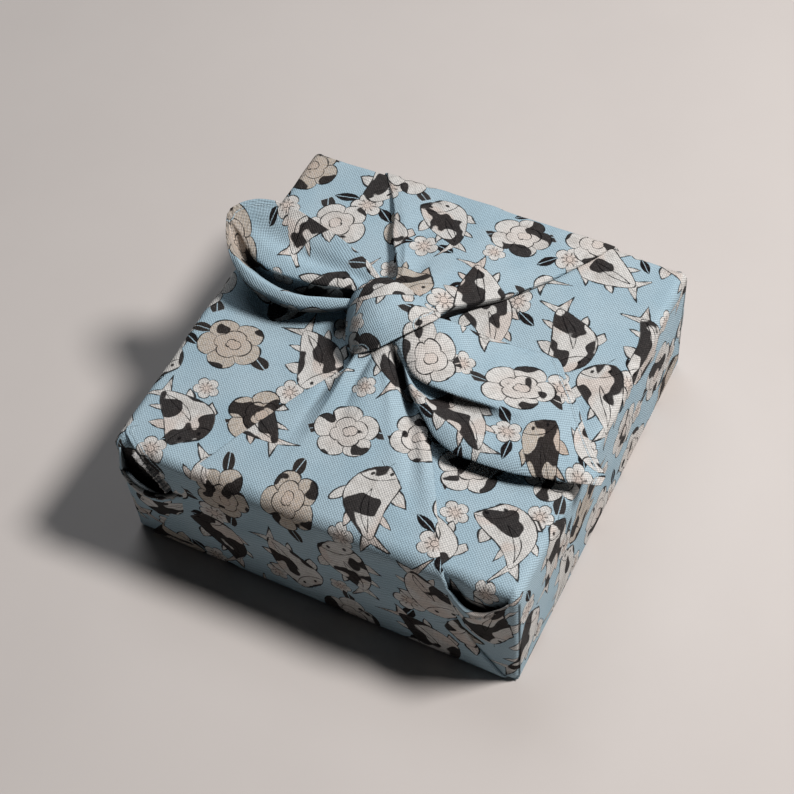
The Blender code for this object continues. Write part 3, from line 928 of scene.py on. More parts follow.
@dataclass(frozen=True)
class CarpPrint:
    """A printed pattern of brush-drawn carp, blooms, blossoms and leaves.

    The cell sizes are those of the printed cloth in millimetres. The figures are
    drawn in units of their own, which scale turns into millimetres.

    Args:
        web: The material that it is drawn in.
    """

    web: Web
    cell_wide: float = 52.0
    cell_high: float = 40.0
    stray: float = 2.4
    swing: float = 0.95
    scale: float = 1.66
    bloom_share: float = 0.66
    tan_share: float = 0.78
    gap_share: float = 0.12

    def cell(self, place: Wire, shift: tuple[float, float], kind: float) -> tuple:
        """The nearest cell of a brick layout.

        Args:
            place: The flat cloth's coordinates.
            shift: Offset of the layout.
            kind: Picks another set of draws.

        Returns:
            Local x and y, and three draws from 0 to 1.
        """
        x, y, _ = self.web.parts(place)
        row = (y + shift[1]) / self.cell_high
        row_number = row.floor()
        column = (x + shift[0]) / self.cell_wide + row_number * 0.382
        column_number = column.floor()
        key = self.web.vector(column_number, row_number, kind)
        draws = self.web.add("ShaderNodeTexWhiteNoise", {"noise_dimensions": "3D"}, {"Vector": key})
        first, second, third = self.web.parts(draws.out("Color"))
        local_x = (column - column_number - 0.5) * self.cell_wide + (first - 0.5) * self.stray
        local_y = (row - row_number - 0.5) * self.cell_high + (second - 0.5) * self.stray
        return local_x / self.scale, local_y / self.scale, first, second, third

    def bounds(self, x: Wire, y: Wire) -> Wire:
        """Signed distance, about, from the rounded box that a figure has to itself."""
        wide = (0.5 * (self.cell_wide - self.stray) - 0.5) / self.scale
        high = (0.5 * (self.cell_high - self.stray) - 0.5) / self.scale
        across, along = (x / wide) * (x / wide), (y / high) * (y / high)
        return (length_of(across * across.sum("SQRT"), along * along.sum("SQRT")) - 1.0) * (0.33 * high)

    @staticmethod
    def stroke(distance: Wire, swell: Wire, share: float = 1.0) -> Wire:
        """A brush line that swells and thins."""
        return (abs(distance) - swell * share).step(0.13, -0.05)

    @staticmethod
    def leaf_shape(x: Wire, y: Wire, length: float, width: float) -> Wire:
        """Signed distance, about, from a pointed leaf along x."""
        across = abs(y) - (1.0 - (x / length) * (x / length)) * width
        return across.highest(abs(x) - length)

    def figures(self, place: Wire, swell: Wire) -> tuple[Wire, Wire, Wire, Wire, Wire]:
        """A carp or a full bloom in each cell.

        Args:
            place: The flat cloth's coordinates.
            swell: Half width of the brush line at each place.

        Returns:
            Masks of the bodies, the ink, the dark patches and the blush, and 1 in tan figures.
        """
        drawn = self.cell(place, (0.0, 0.0), 1.0)
        bloom_here = ((drawn[3] * 7.31) % 1.0).above(self.bloom_share)
        pairs = zip(self.carp(drawn, swell), self.bloom(drawn, swell))
        both = tuple(fish * (1.0 - bloom_here) + flower * bloom_here for fish, flower in pairs)
        return (*both, ((drawn[4] * 5.77) % 1.0).above(self.tan_share))

    def bloom(self, drawn: tuple, swell: Wire) -> tuple[Wire, Wire, Wire, Wire]:
        """A full bloom with three rings of petals and two leaves.

        Args:
            drawn: Local coordinates and draws of the cell.
            swell: Half width of the brush line.

        Returns:
            Masks of its petals, its ink, its leaves and its blush.
        """
        x, y, first, second, third = drawn
        limit = self.bounds(x, y)
        x, y = turned(x, y, third * 6.0)
        y = y * 1.08
        radius = length_of(x, y)
        angle = y.angle_to(x)
        outer_lobe = abs((angle * 2.5 + first * 6.0).cosine())
        outer = radius - (outer_lobe ** 0.6 * 2.9 + 8.4)
        middle_lobe = abs((angle * 2.0 + 1.1).cosine())
        middle = length_of(x - 0.9, y + 0.6) - (middle_lobe ** 0.6 * 1.7 + 4.7)
        inner = length_of(x - 1.2, y + 0.9) - (abs((angle * 1.5 + second).cosine()) ** 0.5 * 0.9 + 1.6)
        mask = outer.step(0.12, -0.12)
        ink = self.stroke(outer, swell).highest(self.stroke(middle, swell, 0.8))
        ink = ink.highest(self.stroke(inner, swell, 0.6))
        seams = self.stroke(outer_lobe * radius * 0.3, swell, 0.4) * middle.step(0.0, 0.4) * mask
        veins = ((angle * 19.0).sine()).step(0.84, 1.0) * (radius - 8.0).step(-1.6, 0.0) * mask
        ink = ink.highest(seams * 0.9).highest(veins * 0.22)
        leaf_x, leaf_y = turned(abs(x) - 12.2, y + x * 0.35, 0.3)
        leaf = self.leaf_shape(leaf_x, leaf_y, 4.4, 2.5).highest(limit).step(0.12, -0.12)
        leaf = leaf * (1.0 - mask) * (1.0 - leaf_y.line(0.10, 0.15))
        blush = (radius.step(10.0, 3.0) * 0.6 + inner.step(0.0, -0.3) * 0.4) * mask
        shaded = self.web.noise(self.web.vector(x, y, first * 91.0), 0.12, 1.0, 0.4).step(0.565, 0.585) * mask
        return mask.highest(leaf), ink, leaf.highest(shaded * inner.step(0.0, 0.2)), blush

    def carp(self, drawn: tuple, swell: Wire) -> tuple[Wire, Wire, Wire, Wire]:
        """A carp seen from above.

        Args:
            drawn: Local coordinates and draws of the cell.
            swell: Half width of the brush line.

        Returns:
            Masks of its body, its ink, its dark patches and its blush.
        """
        x, y, first, second, third = drawn
        facing = first.above(0.5) * 2.0 - 1.0
        limit = self.bounds(x, y)
        x, y = turned(x * facing, y, (third - 0.5) * self.swing)
        y = y - (second - 0.5) * 0.075 * (x * x - 75.0)
        y = y - (x * 0.24 + first * 3.0).sine() * 0.9
        wide = abs(y)
        share = ((x + 15.5) / 25.0).clamped()
        half = ((share ** 0.58) * math.pi).sine().highest(0.0) ** 0.72 * 7.9 + 0.35
        body = (wide - half).highest(-(x + 15.5)).highest(x - 9.5)
        tail_x = x - 6.5
        tail = (wide - (tail_x * 0.66 + 0.8)).highest(tail_x - (wide * 0.62 + 4.0)).highest(-tail_x)
        fin_x, fin_y = turned(x + 4.4, wide - 8.4, 0.85)
        fin = self.leaf_shape(fin_x, fin_y, 4.6, 2.0)
        rear_x, rear_y = turned(x - 3.2, wide - 5.0, 0.62)
        rear = self.leaf_shape(rear_x, rear_y, 3.6, 1.2)
        outline = body.lowest(tail).lowest(fin).lowest(rear).highest(limit)
        body = body.highest(limit)
        inside = outline.step(0.12, -0.12)
        in_body = body.step(0.1, -0.3)
        edge = self.stroke(outline, swell).highest(self.stroke(body, swell, 0.75))
        gill = self.stroke(length_of(x + 19.0, y * 0.9) - 9.3, swell, 0.5) * in_body
        eye = length_of(x + 12.4, wide - 3.1).step(0.85, 0.5)
        feeler = self.stroke(wide - (x + 15.3) * -0.9 - 0.7, swell, 0.4) * (x + 16.6).line(1.1, 0.3)
        dorsal = self.leaf_shape(x - 0.5, y, 7.0, 1.15)
        ink = edge.highest(gill).highest(eye).highest(feeler)
        ink = ink.highest(self.stroke(dorsal, swell, 0.6) * in_body)
        rays = ((y / (tail_x * 0.5 + 1.4)) * 9.0).sine().step(0.72, 0.97)
        rays = rays * tail.step(0.0, -0.5) * tail_x.above(1.5)
        fin_rays = ((fin_y / (fin_x + 9.0)) * 60.0).sine().step(0.72, 0.97) * fin.step(0.0, -0.4)
        ink = ink.highest(rays * 0.4).highest(fin_rays * 0.35 * (1.0 - in_body))
        rising, falling = (((way / 2.3) % 1.0 - 0.5).line(0.05, 0.09) for way in (x + y, x - y))
        net = rising.highest(falling) * in_body
        net = net * (abs(x + 0.5) - 7.6).step(0.0, -2.0) * (half - wide).step(0.4, 2.2)
        spot_place = self.web.vector(x, y, third * 211.0 + second * 57.0)
        dark = (self.web.noise(spot_place, 0.115, 1.0, 0.4) + first * 0.09).step(0.552, 0.572) * in_body
        blush_place = self.web.vector(y, x, first * 173.0 + 31.0)
        blush = self.web.noise(blush_place, 0.085, 1.0, 0.4).step(0.52, 0.62) * inside
        return inside, ink.highest(net * 0.14), dark, blush

    def blossom(self, place: Wire, swell: Wire) -> tuple[Wire, Wire, Wire, Wire]:
        """One blossom with two leaves in each gap between the figures.

        Args:
            place: The flat cloth's coordinates.
            swell: Half width of the brush line.

        Returns:
            Masks of its petals, its ink, its leaves and its warm heart.
        """
        shift = (0.46 * self.cell_wide, 0.5 * self.cell_high)
        x, y, first, second, third = self.cell(place, shift, 7.0)
        size = 0.58 + third * 0.30
        here = ((first * 5.13) % 1.0).above(self.gap_share)
        x, y = turned(x / size, y / size, (first - second) * 6.0)
        radius = length_of(x, y)
        angle = y.angle_to(x)
        # Each tail's dark settings place a painted shade line in its crease.
        lobe = abs((angle * 2.5).cosine())
        petals = radius - ((lobe ** 0.55) * 2.4 + 4.5)
        mask = petals.step(0.15, -0.15) * here
        seams = self.stroke(lobe * radius * 0.42, swell, 0.4) * radius.step(2.4, 3.0) * mask
        stamens = ((angle * 8.0).sine()).step(0.5, 0.9) * (radius - 2.9).line(0.8, 0.3) * mask
        leaf_x, leaf_y = turned(abs(x) - 9.6, y + x * 0.25, 0.35)
        leaf = self.leaf_shape(leaf_x, leaf_y, 4.6, 2.3)
        beside = (1.0 - mask) * third.above(0.45)
        leaf_mask = leaf.step(0.12, -0.12) * beside * here
        ink = self.stroke(petals, swell).highest(seams * 0.8).highest(stamens * 0.8)
        ink = ink.highest(self.stroke(radius - 1.5, swell, 0.5)).highest(self.stroke(leaf, swell) * beside)
        vein = leaf_y.line(0.12, 0.15) * leaf_mask
        return mask, ink * here, leaf_mask * (1.0 - vein), radius.step(5.2, 1.0) * mask


@dataclass(frozen=True)
class PrintedCotton:
    """Printed cotton of a coarse plain weave.

    Args:
        side: The printed face, or the paler back.
    """

    side: Side = Side.FACE
    pitch: float = 1.25
    blue: tuple = (0.438, 0.588, 0.676, 1.0)
    deep_blue: tuple = (0.392, 0.548, 0.642, 1.0)
    cream: tuple = (0.745, 0.742, 0.720, 1.0)
    shaded_cream: tuple = (0.560, 0.545, 0.518, 1.0)
    tan: tuple = (0.500, 0.420, 0.325, 1.0)
    warm: tuple = (0.640, 0.480, 0.395, 1.0)
    char: tuple = (0.009, 0.007, 0.008, 1.0)
    pale_char: tuple = (0.052, 0.043, 0.043, 1.0)
    ink: tuple = (0.006, 0.005, 0.006, 1.0)
    stitch: tuple = (0.60, 0.78, 0.88, 1.0)
    bare: tuple = (0.62, 0.72, 0.76, 1.0)
    thread: tuple = (0.86, 0.86, 0.85, 1.0)
    white: tuple = (1.0, 1.0, 1.0, 1.0)
    weave_shade: tuple = (0.26, 0.27, 0.29, 1.0)
    # Strength of the painted shade in folds, mouths and undersides.
    painted_fold_shade: float = 0.90
    faded: float = 0.60
    sway_reach: float = 11.0

    def make(self) -> bpy.types.Material:
        """Build the material.

        Returns:
            The material.
        """
        web = Web("printed_cotton_" + self.side.value)
        flat = web.add("ShaderNodeAttribute", {"attribute_name": "cloth_place"}).out("Vector")
        hem = web.add("ShaderNodeAttribute", {"attribute_name": "hem_place"}).out("Vector")
        # The third part of cloth_place is the painted shade of folds, not a place.
        x, y, depth = web.parts(flat)
        along, over = turned(x, y, math.radians(45.0))
        grain = web.vector(along, over)
        colour = self.printed(web, grain)
        weave, speckle = self.weave(web, along, over, grain)
        if self.side is Side.BACK:
            colour = web.mixed(self.faded, colour, self.bare)
        colour = web.mixed(speckle * 0.05, colour, self.thread)
        hem_away, hem_along, _ = web.parts(hem)
        stitch, ridge = self.sewing(hem_away, hem_along)
        colour = web.mixed(stitch * 0.7, colour, self.stitch)
        shade = web.mixed((1.0 - weave) * 0.60, self.white, self.weave_shade)
        multiply = {"data_type": "RGBA", "blend_type": "MULTIPLY"}
        colour = web.add("ShaderNodeMix", multiply, {0: 1.0, 6: colour, 7: shade}).out(2)
        # Painted shade: deep folds, ear mouths and undersides are mixed towards the near-black ink.
        colour = web.mixed(depth * self.painted_fold_shade, colour, self.ink)
        height = weave * 0.30 + stitch * 0.35 + ridge * 0.5 + speckle * 0.10
        return web.surface({
            "Base Color": colour,
            "Roughness": 0.82 + weave * 0.12,
            "Normal": web.bump(height, 0.85, 0.0011),
            "Metallic": 0.0,
            "Specular IOR Level": 0.05,
            "Sheen Weight": 0.02,
            "Sheen Roughness": 0.5,
        })

    def printed(self, web: Web, grain: Wire) -> Wire:
        """The printed colours.

        Args:
            web: The material.
            grain: The flat cloth's coordinates along its edges.

        Returns:
            A colour.
        """
        fine = web.noise(grain, 0.55, 2.0, 0.6) - 0.5
        wide_waves = {"Vector": grain, "Scale": 0.017, "Detail": 0.0}
        sway = web.add("ShaderNodeTexNoise", {}, wide_waves).out("Color")
        sway_x, sway_y = ((part - 0.5) * self.sway_reach for part in web.parts(sway)[:2])
        shift = web.vector(sway_x + fine * 0.6, sway_y + fine * 0.5)
        place = web.add("ShaderNodeVectorMath", {"operation": "ADD"}, {0: grain, 1: shift}).out()
        swell = 0.06 + web.noise(grain, 0.14, 2.0, 0.6).step(0.32, 0.68) * 0.26
        pattern = CarpPrint(web)
        body, ink, dark, warm, tan_here = pattern.figures(place, swell)
        petals, flower_ink, leaves, heart = pattern.blossom(place, swell)
        hairs = web.noise(web.vector(*web.parts(grain)[:2], 3.0), 1.1, 3.0, 0.7)
        cloud = web.noise(grain, 0.035, 2.0, 0.5)
        colour = web.mixed(cloud.step(0.35, 0.7), self.blue, self.deep_blue)
        charcoal = web.mixed(hairs.step(0.45, 0.80), self.char, self.pale_char)
        shaded = web.noise(grain, 0.11, 2.0, 0.5).step(0.42, 0.72)
        fill = web.mixed(shaded * 0.7, self.cream, self.shaded_cream)
        tan_fill = web.mixed(hairs.step(0.35, 0.7), self.tan, self.shaded_cream)
        figure = web.mixed(tan_here * 0.85, fill, tan_fill)
        colour = web.mixed(leaves, colour, charcoal)
        colour = web.mixed(petals, colour, fill)
        colour = web.mixed(heart * 0.5, colour, self.warm)
        colour = web.mixed(flower_ink * 0.92, colour, self.ink)
        colour = web.mixed(body, colour, figure)
        colour = web.mixed(warm * 0.34, colour, self.warm)
        colour = web.mixed(dark * 0.96, colour, charcoal)
        return web.mixed(ink * 0.94, colour, self.ink)

    def weave(self, web: Web, along: Wire, over: Wire, grain: Wire) -> tuple[Wire, Wire]:
        """The threads.

        Args:
            web: The material.
            along: Coordinate along the warp.
            over: Coordinate along the weft.
            grain: Both as a vector.

        Returns:
            Height of the threads from 0 to 1, and pale slubs.
        """
        turn = 2.0 * math.pi / self.pitch
        sway = (web.noise(grain, 0.30, 2.0, 0.5) - 0.5) * 0.8
        warp = ((along + sway) * turn).sine()
        weft = ((over + sway) * turn).sine()
        uneven = web.noise(grain, 1.3, 2.0, 0.7) - 0.5
        height = (0.5 + warp * 0.30 + weft * 0.20 + uneven * 0.9).clamped()
        ways = (web.vector(along * 0.2, over * 1.5, 5.0), web.vector(along * 1.5, over * 0.2, 9.0))
        slub, crossed = (web.noise(way, 1.0, 2.0, 0.7).step(0.56, 0.78) for way in ways)
        return height, slub.highest(crossed)

    @staticmethod
    def sewing(away: Wire, along: Wire) -> tuple[Wire, Wire]:
        """The hem's two lines of stitches and its doubled edge.

        Args:
            away: Distance from the hem's edge.
            along: Way along the hem.

        Returns:
            Masks of the stitches and of the ridge of doubled cloth.
        """
        dashes = ((along / 2.2) % 1.0 - 0.5).line(0.33, 0.08)
        stitches = (away - 3.6).line(0.26, 0.2) * dashes
        ridge = away.step(4.6, 4.0) * away.step(-1.0, 0.2) - (away - 3.7).line(0.45, 0.4) * 0.7
        return stitches, ridge - (away - 1.8).line(0.3, 0.3) * 0.5


@dataclass(frozen=True)
class RawThread:
    """Loose pale threads of a cut edge."""

    tone: tuple = (0.93, 0.92, 0.90, 1.0)
    shade: tuple = (0.34, 0.35, 0.37, 1.0)

    def make(self) -> bpy.types.Material:
        """Build the material from the object's own coordinates."""
        web = Web("raw_thread")
        place = web.add("ShaderNodeTexCoord").out("Object")
        clump = web.noise(place, 1500.0, 3.0, 0.8)
        colour = web.mixed(clump.step(0.42, 0.60), self.shade, self.tone)
        return web.surface({"Base Color": colour, "Roughness": 0.9, "Normal": web.bump(clump, 0.9, 0.0008)})


@dataclass(frozen=True)
class PaleCard:
    """Uncoated card of the gift box."""

    tone: tuple = (0.62, 0.59, 0.54, 1.0)
    fleck: tuple = (0.47, 0.43, 0.38, 1.0)

    def make(self) -> bpy.types.Material:
        """Build the material from the object's own coordinates."""
        web = Web("pale_card")
        place = web.add("ShaderNodeTexCoord").out("Object")
        fibre = web.noise(place, 900.0, 4.0, 0.7)
        cloud = web.noise(place, 24.0, 3.0, 0.6)
        colour = web.mixed(fibre.step(0.55, 0.75) * 0.5, self.tone, self.fleck)
        colour = web.mixed(cloud.step(0.4, 0.8) * 0.25, colour, self.fleck)
        bump = web.bump(fibre, 0.2, 0.0004)
        return web.surface({"Base Color": colour, "Roughness": 0.72 + fibre * 0.2, "Normal": bump})


@dataclass
class WrapBody:
    """The cloth under and round the box: base, sides, flaps and corner ears."""

    finishes: Sequence[bpy.types.Material]
    arc_steps: int = 6
    strip_columns: int = 78
    base_steps: int = 20
    base_reach: float = 117.0
    left_flap_end: float = 8.0
    right_flap_end: float = -12.0
    flap_step_to: float = 16.0
    flap_pitch: float = 3.0
    flap_taper: float = 14.0
    taper_from: float = 20.0
    taper_to: float = 60.0
    tuck_from: float = 60.0
    side_top: float = 82.0
    side_pitch: float = 2.8
    ear_reach: float = 72.0
    ear_pitch: float = 2.0
    tuck_depths: tuple[float, ...] = (2.0, 4.0, 6.5, 9.0, 12.0, 16.0, 20.0, 25.0, 34.0, 44.0)
    lip_roll: float = 1.5
    lip_inside: float = 22.0
    lip_pitch: float = 1.6
    mouth: float = 4.2
    # Painted shade in the ears' mouths: how far above the lip it starts, and on the front left where it
    # starts and how far it falls.
    shade_above: float = 4.5
    left_shade_top: float = 80.5
    left_shade_fall: float = 7.0

    def stations(self) -> list[tuple[str, float, float, float]]:
        """Rows of the strip that runs left flap, base, right flap.

        Returns:
            Kind, x, z and way along the flat cloth.
        """
        path: list[tuple[str, float, float]] = []
        flap_rows = int((HALF - TOP_ROUND - self.left_flap_end) / self.flap_pitch)
        for x in np.linspace(self.left_flap_end, -HALF + TOP_ROUND, flap_rows + 1):
            path.append(("flap", float(x), TOP))
        left = arc((-HALF + TOP_ROUND, TOP - TOP_ROUND), TOP_ROUND, 90.0, 180.0, self.arc_steps)
        path += [("top_arc", x, z) for x, z in left[1:-1]]
        heights = np.linspace(self.side_top, BASE_ROUND, int(self.side_top / self.side_pitch))
        path += [("side", -HALF, float(z)) for z in heights]
        base = arc((-HALF + BASE_ROUND, BASE_ROUND), BASE_ROUND, 180.0, 270.0, 4)
        path += [("base", x, z) for x, z in base[1:]]
        for x in np.linspace(-HALF + BASE_ROUND, HALF - BASE_ROUND, self.base_steps)[1:-1]:
            path.append(("base", float(x), 0.0))
        base = arc((HALF - BASE_ROUND, BASE_ROUND), BASE_ROUND, 270.0, 360.0, 4)
        path += [("base", x, z) for x, z in base[:-1]]
        path += [("side", HALF, float(z)) for z in heights[::-1]]
        right = arc((HALF - TOP_ROUND, TOP - TOP_ROUND), TOP_ROUND, 0.0, 90.0, self.arc_steps)
        path += [("top_arc", x, z) for x, z in right[1:-1]]
        for x in np.linspace(HALF - TOP_ROUND, self.flap_step_to, flap_rows):
            path.append(("flap", float(x), TOP))
        for x in np.linspace(self.flap_step_to, self.right_flap_end, 10)[1:]:
            path.append(("flap", float(x), TOP + LAYER * float(soft_step(self.flap_step_to - x, 0.0, 8.0))))
        spots = np.array([(x, z) for _, x, z in path])
        gone = walked(spots)
        lowest = np.flatnonzero(spots[:, 1] < 1.0)
        centre = np.interp(0.0, spots[lowest, 0], gone[lowest])
        return [(kind, x, z, float(way - centre)) for (kind, x, z), way in zip(path, gone)]

    def lips(self, right: bool, front: bool) -> tuple[Lip, ...]:
        """The lip table of one corner."""
        if not front:
            return BACK_LIP
        return RIGHT_FRONT_LIP if right else LEFT_FRONT_LIP

    def ear_points(self, right: bool, front: bool, share: float) -> tuple[Numbers, Numbers]:
        """Points of one row of an ear, from its corner inwards.

        Args:
            right: The ear is on the right.
            front: The ear is in front.
            share: Height of the row as a share of the side.

        Returns:
            The points and their distances from the corner.
        """
        reach = np.arange(self.ear_pitch, self.ear_reach + 0.1, self.ear_pitch)
        reach = np.concatenate([[POST_ROUND + 0.6], reach[reach > POST_ROUND + 1.0]])
        height, bulge = lip_at(self.lips(right, front), reach).T
        z = BASE_ROUND + (height - BASE_ROUND) * share
        y = EAR_FACE + np.maximum(bulge, 0.0) * share**3
        x = HALF - reach
        return np.stack([x if right else -x, -y if front else y, z], axis=1), reach

    def post_turn(self, right: bool, front: bool, z: float) -> list:
        """Points round the upright edge at a corner, the start left out."""
        turns = arc((HALF - POST_ROUND, EAR_FACE - POST_ROUND), POST_ROUND, 0.0, 90.0, self.arc_steps)
        return [(x if right else -x, -y if front else y, z) for x, y in turns[1:]]

    def puff(self, x: float, front: bool) -> float:
        """How far the flap swells into the ear's mouth."""
        bulge = lip_at(self.lips(x > 0.0, front), HALF - abs(x))[0, 1]
        return 0.0 if front and x < 0.0 else max(float(bulge) - self.mouth, 0.0)

    def tuck_turn(self, x: float, front: bool, puff: float = 0.0) -> list:
        """Points over the front or back top edge of a flap, the start left out."""
        turns = arc((FLAP_EDGE, TOP - TOP_ROUND), TOP_ROUND, 90.0, 0.0, self.arc_steps)
        spots = []
        for step, (y, z) in enumerate(turns[1:], start=1):
            y += puff * (step / self.arc_steps) ** 2
            spots.append((x, -y if front else y, z))
        return spots

    def corner_turn(self, right: bool, front: bool, z: float) -> list:
        """Points that close a top corner at one height of the rounding."""
        level = math.asin((z - TOP + TOP_ROUND) / TOP_ROUND)
        edge = HALF - TOP_ROUND
        centre = Vector((edge if right else -edge, -FLAP_EDGE if front else FLAP_EDGE, TOP - TOP_ROUND))
        points = []
        for post, tuck in zip(self.post_turn(right, front, TOP - TOP_ROUND), self.tuck_turn(centre.x, front)):
            low, high = Vector(post) - centre, Vector(tuck) - centre
            size = low.length * math.cos(level) ** 2 + high.length * math.sin(level) ** 2
            way = low.normalized() * math.cos(level) + high.normalized() * math.sin(level)
            points.append(tuple(centre + way.normalized() * size))
        return points

    def half_width(self, kind: str, x: float) -> float:
        """Half width of the strip between its front and back edge."""
        if kind == "side":
            return HALF - POST_ROUND
        if kind == "top_arc":
            return 0.5 * (HALF - POST_ROUND + FLAP_EDGE)
        if kind == "base":
            return self.base_reach
        taper = 1.0 - float(soft_step(abs(x), self.taper_from, self.taper_to))
        return FLAP_EDGE - self.flap_taper * taper

    def rim(self, kind: str, x: float, z: float, front: bool) -> tuple[list, list]:
        """Points of one row beyond the strip's edge.

        Args:
            kind: The row's kind.
            x: The row's x.
            z: The row's height.
            front: At the front edge.

        Returns:
            The points and how far each lies beyond the edge along the cloth.
        """
        right = x > 0.0
        quarter = 0.5 * math.pi / self.arc_steps
        if kind == "side":
            level = (z - BASE_ROUND) / (self.side_top - BASE_ROUND)
            ear, reach = self.ear_points(right, front, level)
            points = self.post_turn(right, front, z) + [tuple(point) for point in ear]
            far = [POST_ROUND * quarter * step for step in range(1, self.arc_steps + 1)]
            return points, far + [far[-1] + float(gone) - POST_ROUND for gone in reach]
        if kind == "top_arc":
            points = self.corner_turn(right, front, z)
            return points, [TOP_ROUND * quarter * step for step in range(1, len(points) + 1)]
        if kind == "flap" and abs(x) > self.tuck_from:
            puff = self.puff(x, front)
            points = self.tuck_turn(x, front, puff)
            far = [TOP_ROUND * quarter * step for step in range(1, self.arc_steps + 1)]
            for depth in self.tuck_depths:
                swell = puff * (1.0 + 0.35 * math.sin(math.pi * min(depth / 14.0, 1.0)))
                y = TUCK_FACE + swell * (1.0 - float(soft_step(depth, 12.0, 27.0)))
                points.append((x, -y if front else y, TOP - TOP_ROUND - depth))
                far.append(TOP_ROUND * 0.5 * math.pi + depth)
            return points, far
        return [], []

    def painted_mouth_shade(self, point: Sequence[float], front: bool) -> float:
        """How much painted shade a point of a tucked flap gets deep in the ear's mouth, from 0 to 1."""
        away = HALF - abs(point[0])
        top = lip_at(self.lips(point[0] > 0.0, front), away)[0, 0] + self.shade_above
        if front and point[0] < 0.0:
            top = self.left_shade_top - self.left_shade_fall * float(soft_step(-away, -15.0, -3.0))
        return float(soft_step(top - point[2], -0.5, 4.5) * soft_step(-away, -42.0, -34.0))

    def build(self) -> bpy.types.Object:
        """Build the piece.

        Returns:
            The new object.
        """
        cloth = ClothMesh()
        table: dict = {}
        path = self.stations()
        far_hem = (FAR_FROM_HEM, 0.0)
        counts = []
        for row, (kind, x, z, way) in enumerate(path):
            wide = self.half_width(kind, x)
            for column in range(self.strip_columns + 1):
                y = (2.0 * column / self.strip_columns - 1.0) * wide
                table[(row, column)] = ((x, y, z), (way, y), far_hem)
            longest = 0
            for front in (True, False):
                points, reaches = self.rim(kind, x, z, front)
                longest = max(longest, len(points))
                for step, (point, reach) in enumerate(zip(points, reaches)):
                    flat_y = -(wide + reach) if front else wide + reach
                    key = (row, -1 - step) if front else (row, self.strip_columns + 1 + step)
                    # Painted shade on the tucked flap inside the ears' mouths.
                    depth = self.painted_mouth_shade(point, front) if kind == "flap" else 0.0
                    table[key] = (point, (way, flat_y, depth), far_hem)
            counts.append(longest)
        faces = []
        for row in range(len(path) - 1):
            kinds = {path[row][0], path[row + 1][0]}
            joined = self.arc_steps if kinds <= {"side", "top_arc", "flap"} else 0
            limit = max(counts) if len(kinds) == 1 else joined
            for column in range(-limit, self.strip_columns + limit):
                faces.append([(row, column), (row, column + 1), (row + 1, column + 1), (row + 1, column)])
        cloth.keyed(table, faces)
        for right in (False, True):
            for front in (True, False):
                self.lip_lining(cloth, right, front)
        piece = cloth.to_object("cloth_body", self.finishes, self.wrinkles)
        return piece

    def lip_lining(self, cloth: ClothMesh, right: bool, front: bool) -> None:
        """Turn the ear's lip over and down inside the fold.

        Args:
            cloth: The mesh to add to.
            right: The ear is on the right.
            front: The ear is in front.
        """
        rim, reach = self.ear_points(right, front, 1.0)
        below, _ = self.ear_points(right, front, 0.97)
        up = rim - below
        up /= np.linalg.norm(up, axis=1)[:, None]
        inward = np.tile([0.0, 1.0 if front else -1.0, 0.0], (len(rim), 1))
        bulge = np.maximum(lip_at(self.lips(right, front), reach)[:, 1], 0.0)
        roll = np.minimum(self.lip_roll, 0.35 * bulge + 0.1)[:, None]
        rows = [rim]
        for turn in np.radians([30.0, 60.0, 90.0, 120.0, 150.0, 180.0]):
            rows.append(rim + roll * (1.0 - math.cos(turn)) * inward + roll * math.sin(turn) * up)
        limit = TUCK_FACE + 0.5
        for depth in (3.0, 7.0, 12.0, self.lip_inside):
            spot = rows[6] - depth * up
            spot[:, 1] = np.minimum(spot[:, 1], -limit) if front else np.maximum(spot[:, 1], limit)
            spot[:, 1] += inward[:, 1] * bulge * 0.3 * depth / self.lip_inside
            rows.append(spot)
        points = np.stack(rows)
        sign = 1.0 if right else -1.0
        flat_x = sign * (HALF + rim[:, 2])
        flat_y = (-1.0 if front else 1.0) * (HALF + reach)
        lengths = np.arange(len(rows)) * self.lip_pitch
        # Painted shade that grows deeper inside the lip's fold.
        lining_shade = np.clip((lengths - 5.0) / 6.0, 0.0, 1.0)
        places = np.stack(
            [
                flat_x[None, :] + sign * lengths[:, None],
                np.tile(flat_y, (len(rows), 1)),
                np.tile(lining_shade[:, None], (1, len(rim))),
            ],
            axis=2,
        )
        cloth.grid(points, places, turned=(right == front))

    def wrinkles(self, points: Numbers) -> Numbers:
        """Uneven heights of the body, flat on the base."""
        height = soft_noise(points, 52.0, 11) * 0.34 + soft_noise(points, 19.0, 12) * 0.10
        return height * soft_step(points[:, 2], 2.0, 16.0)


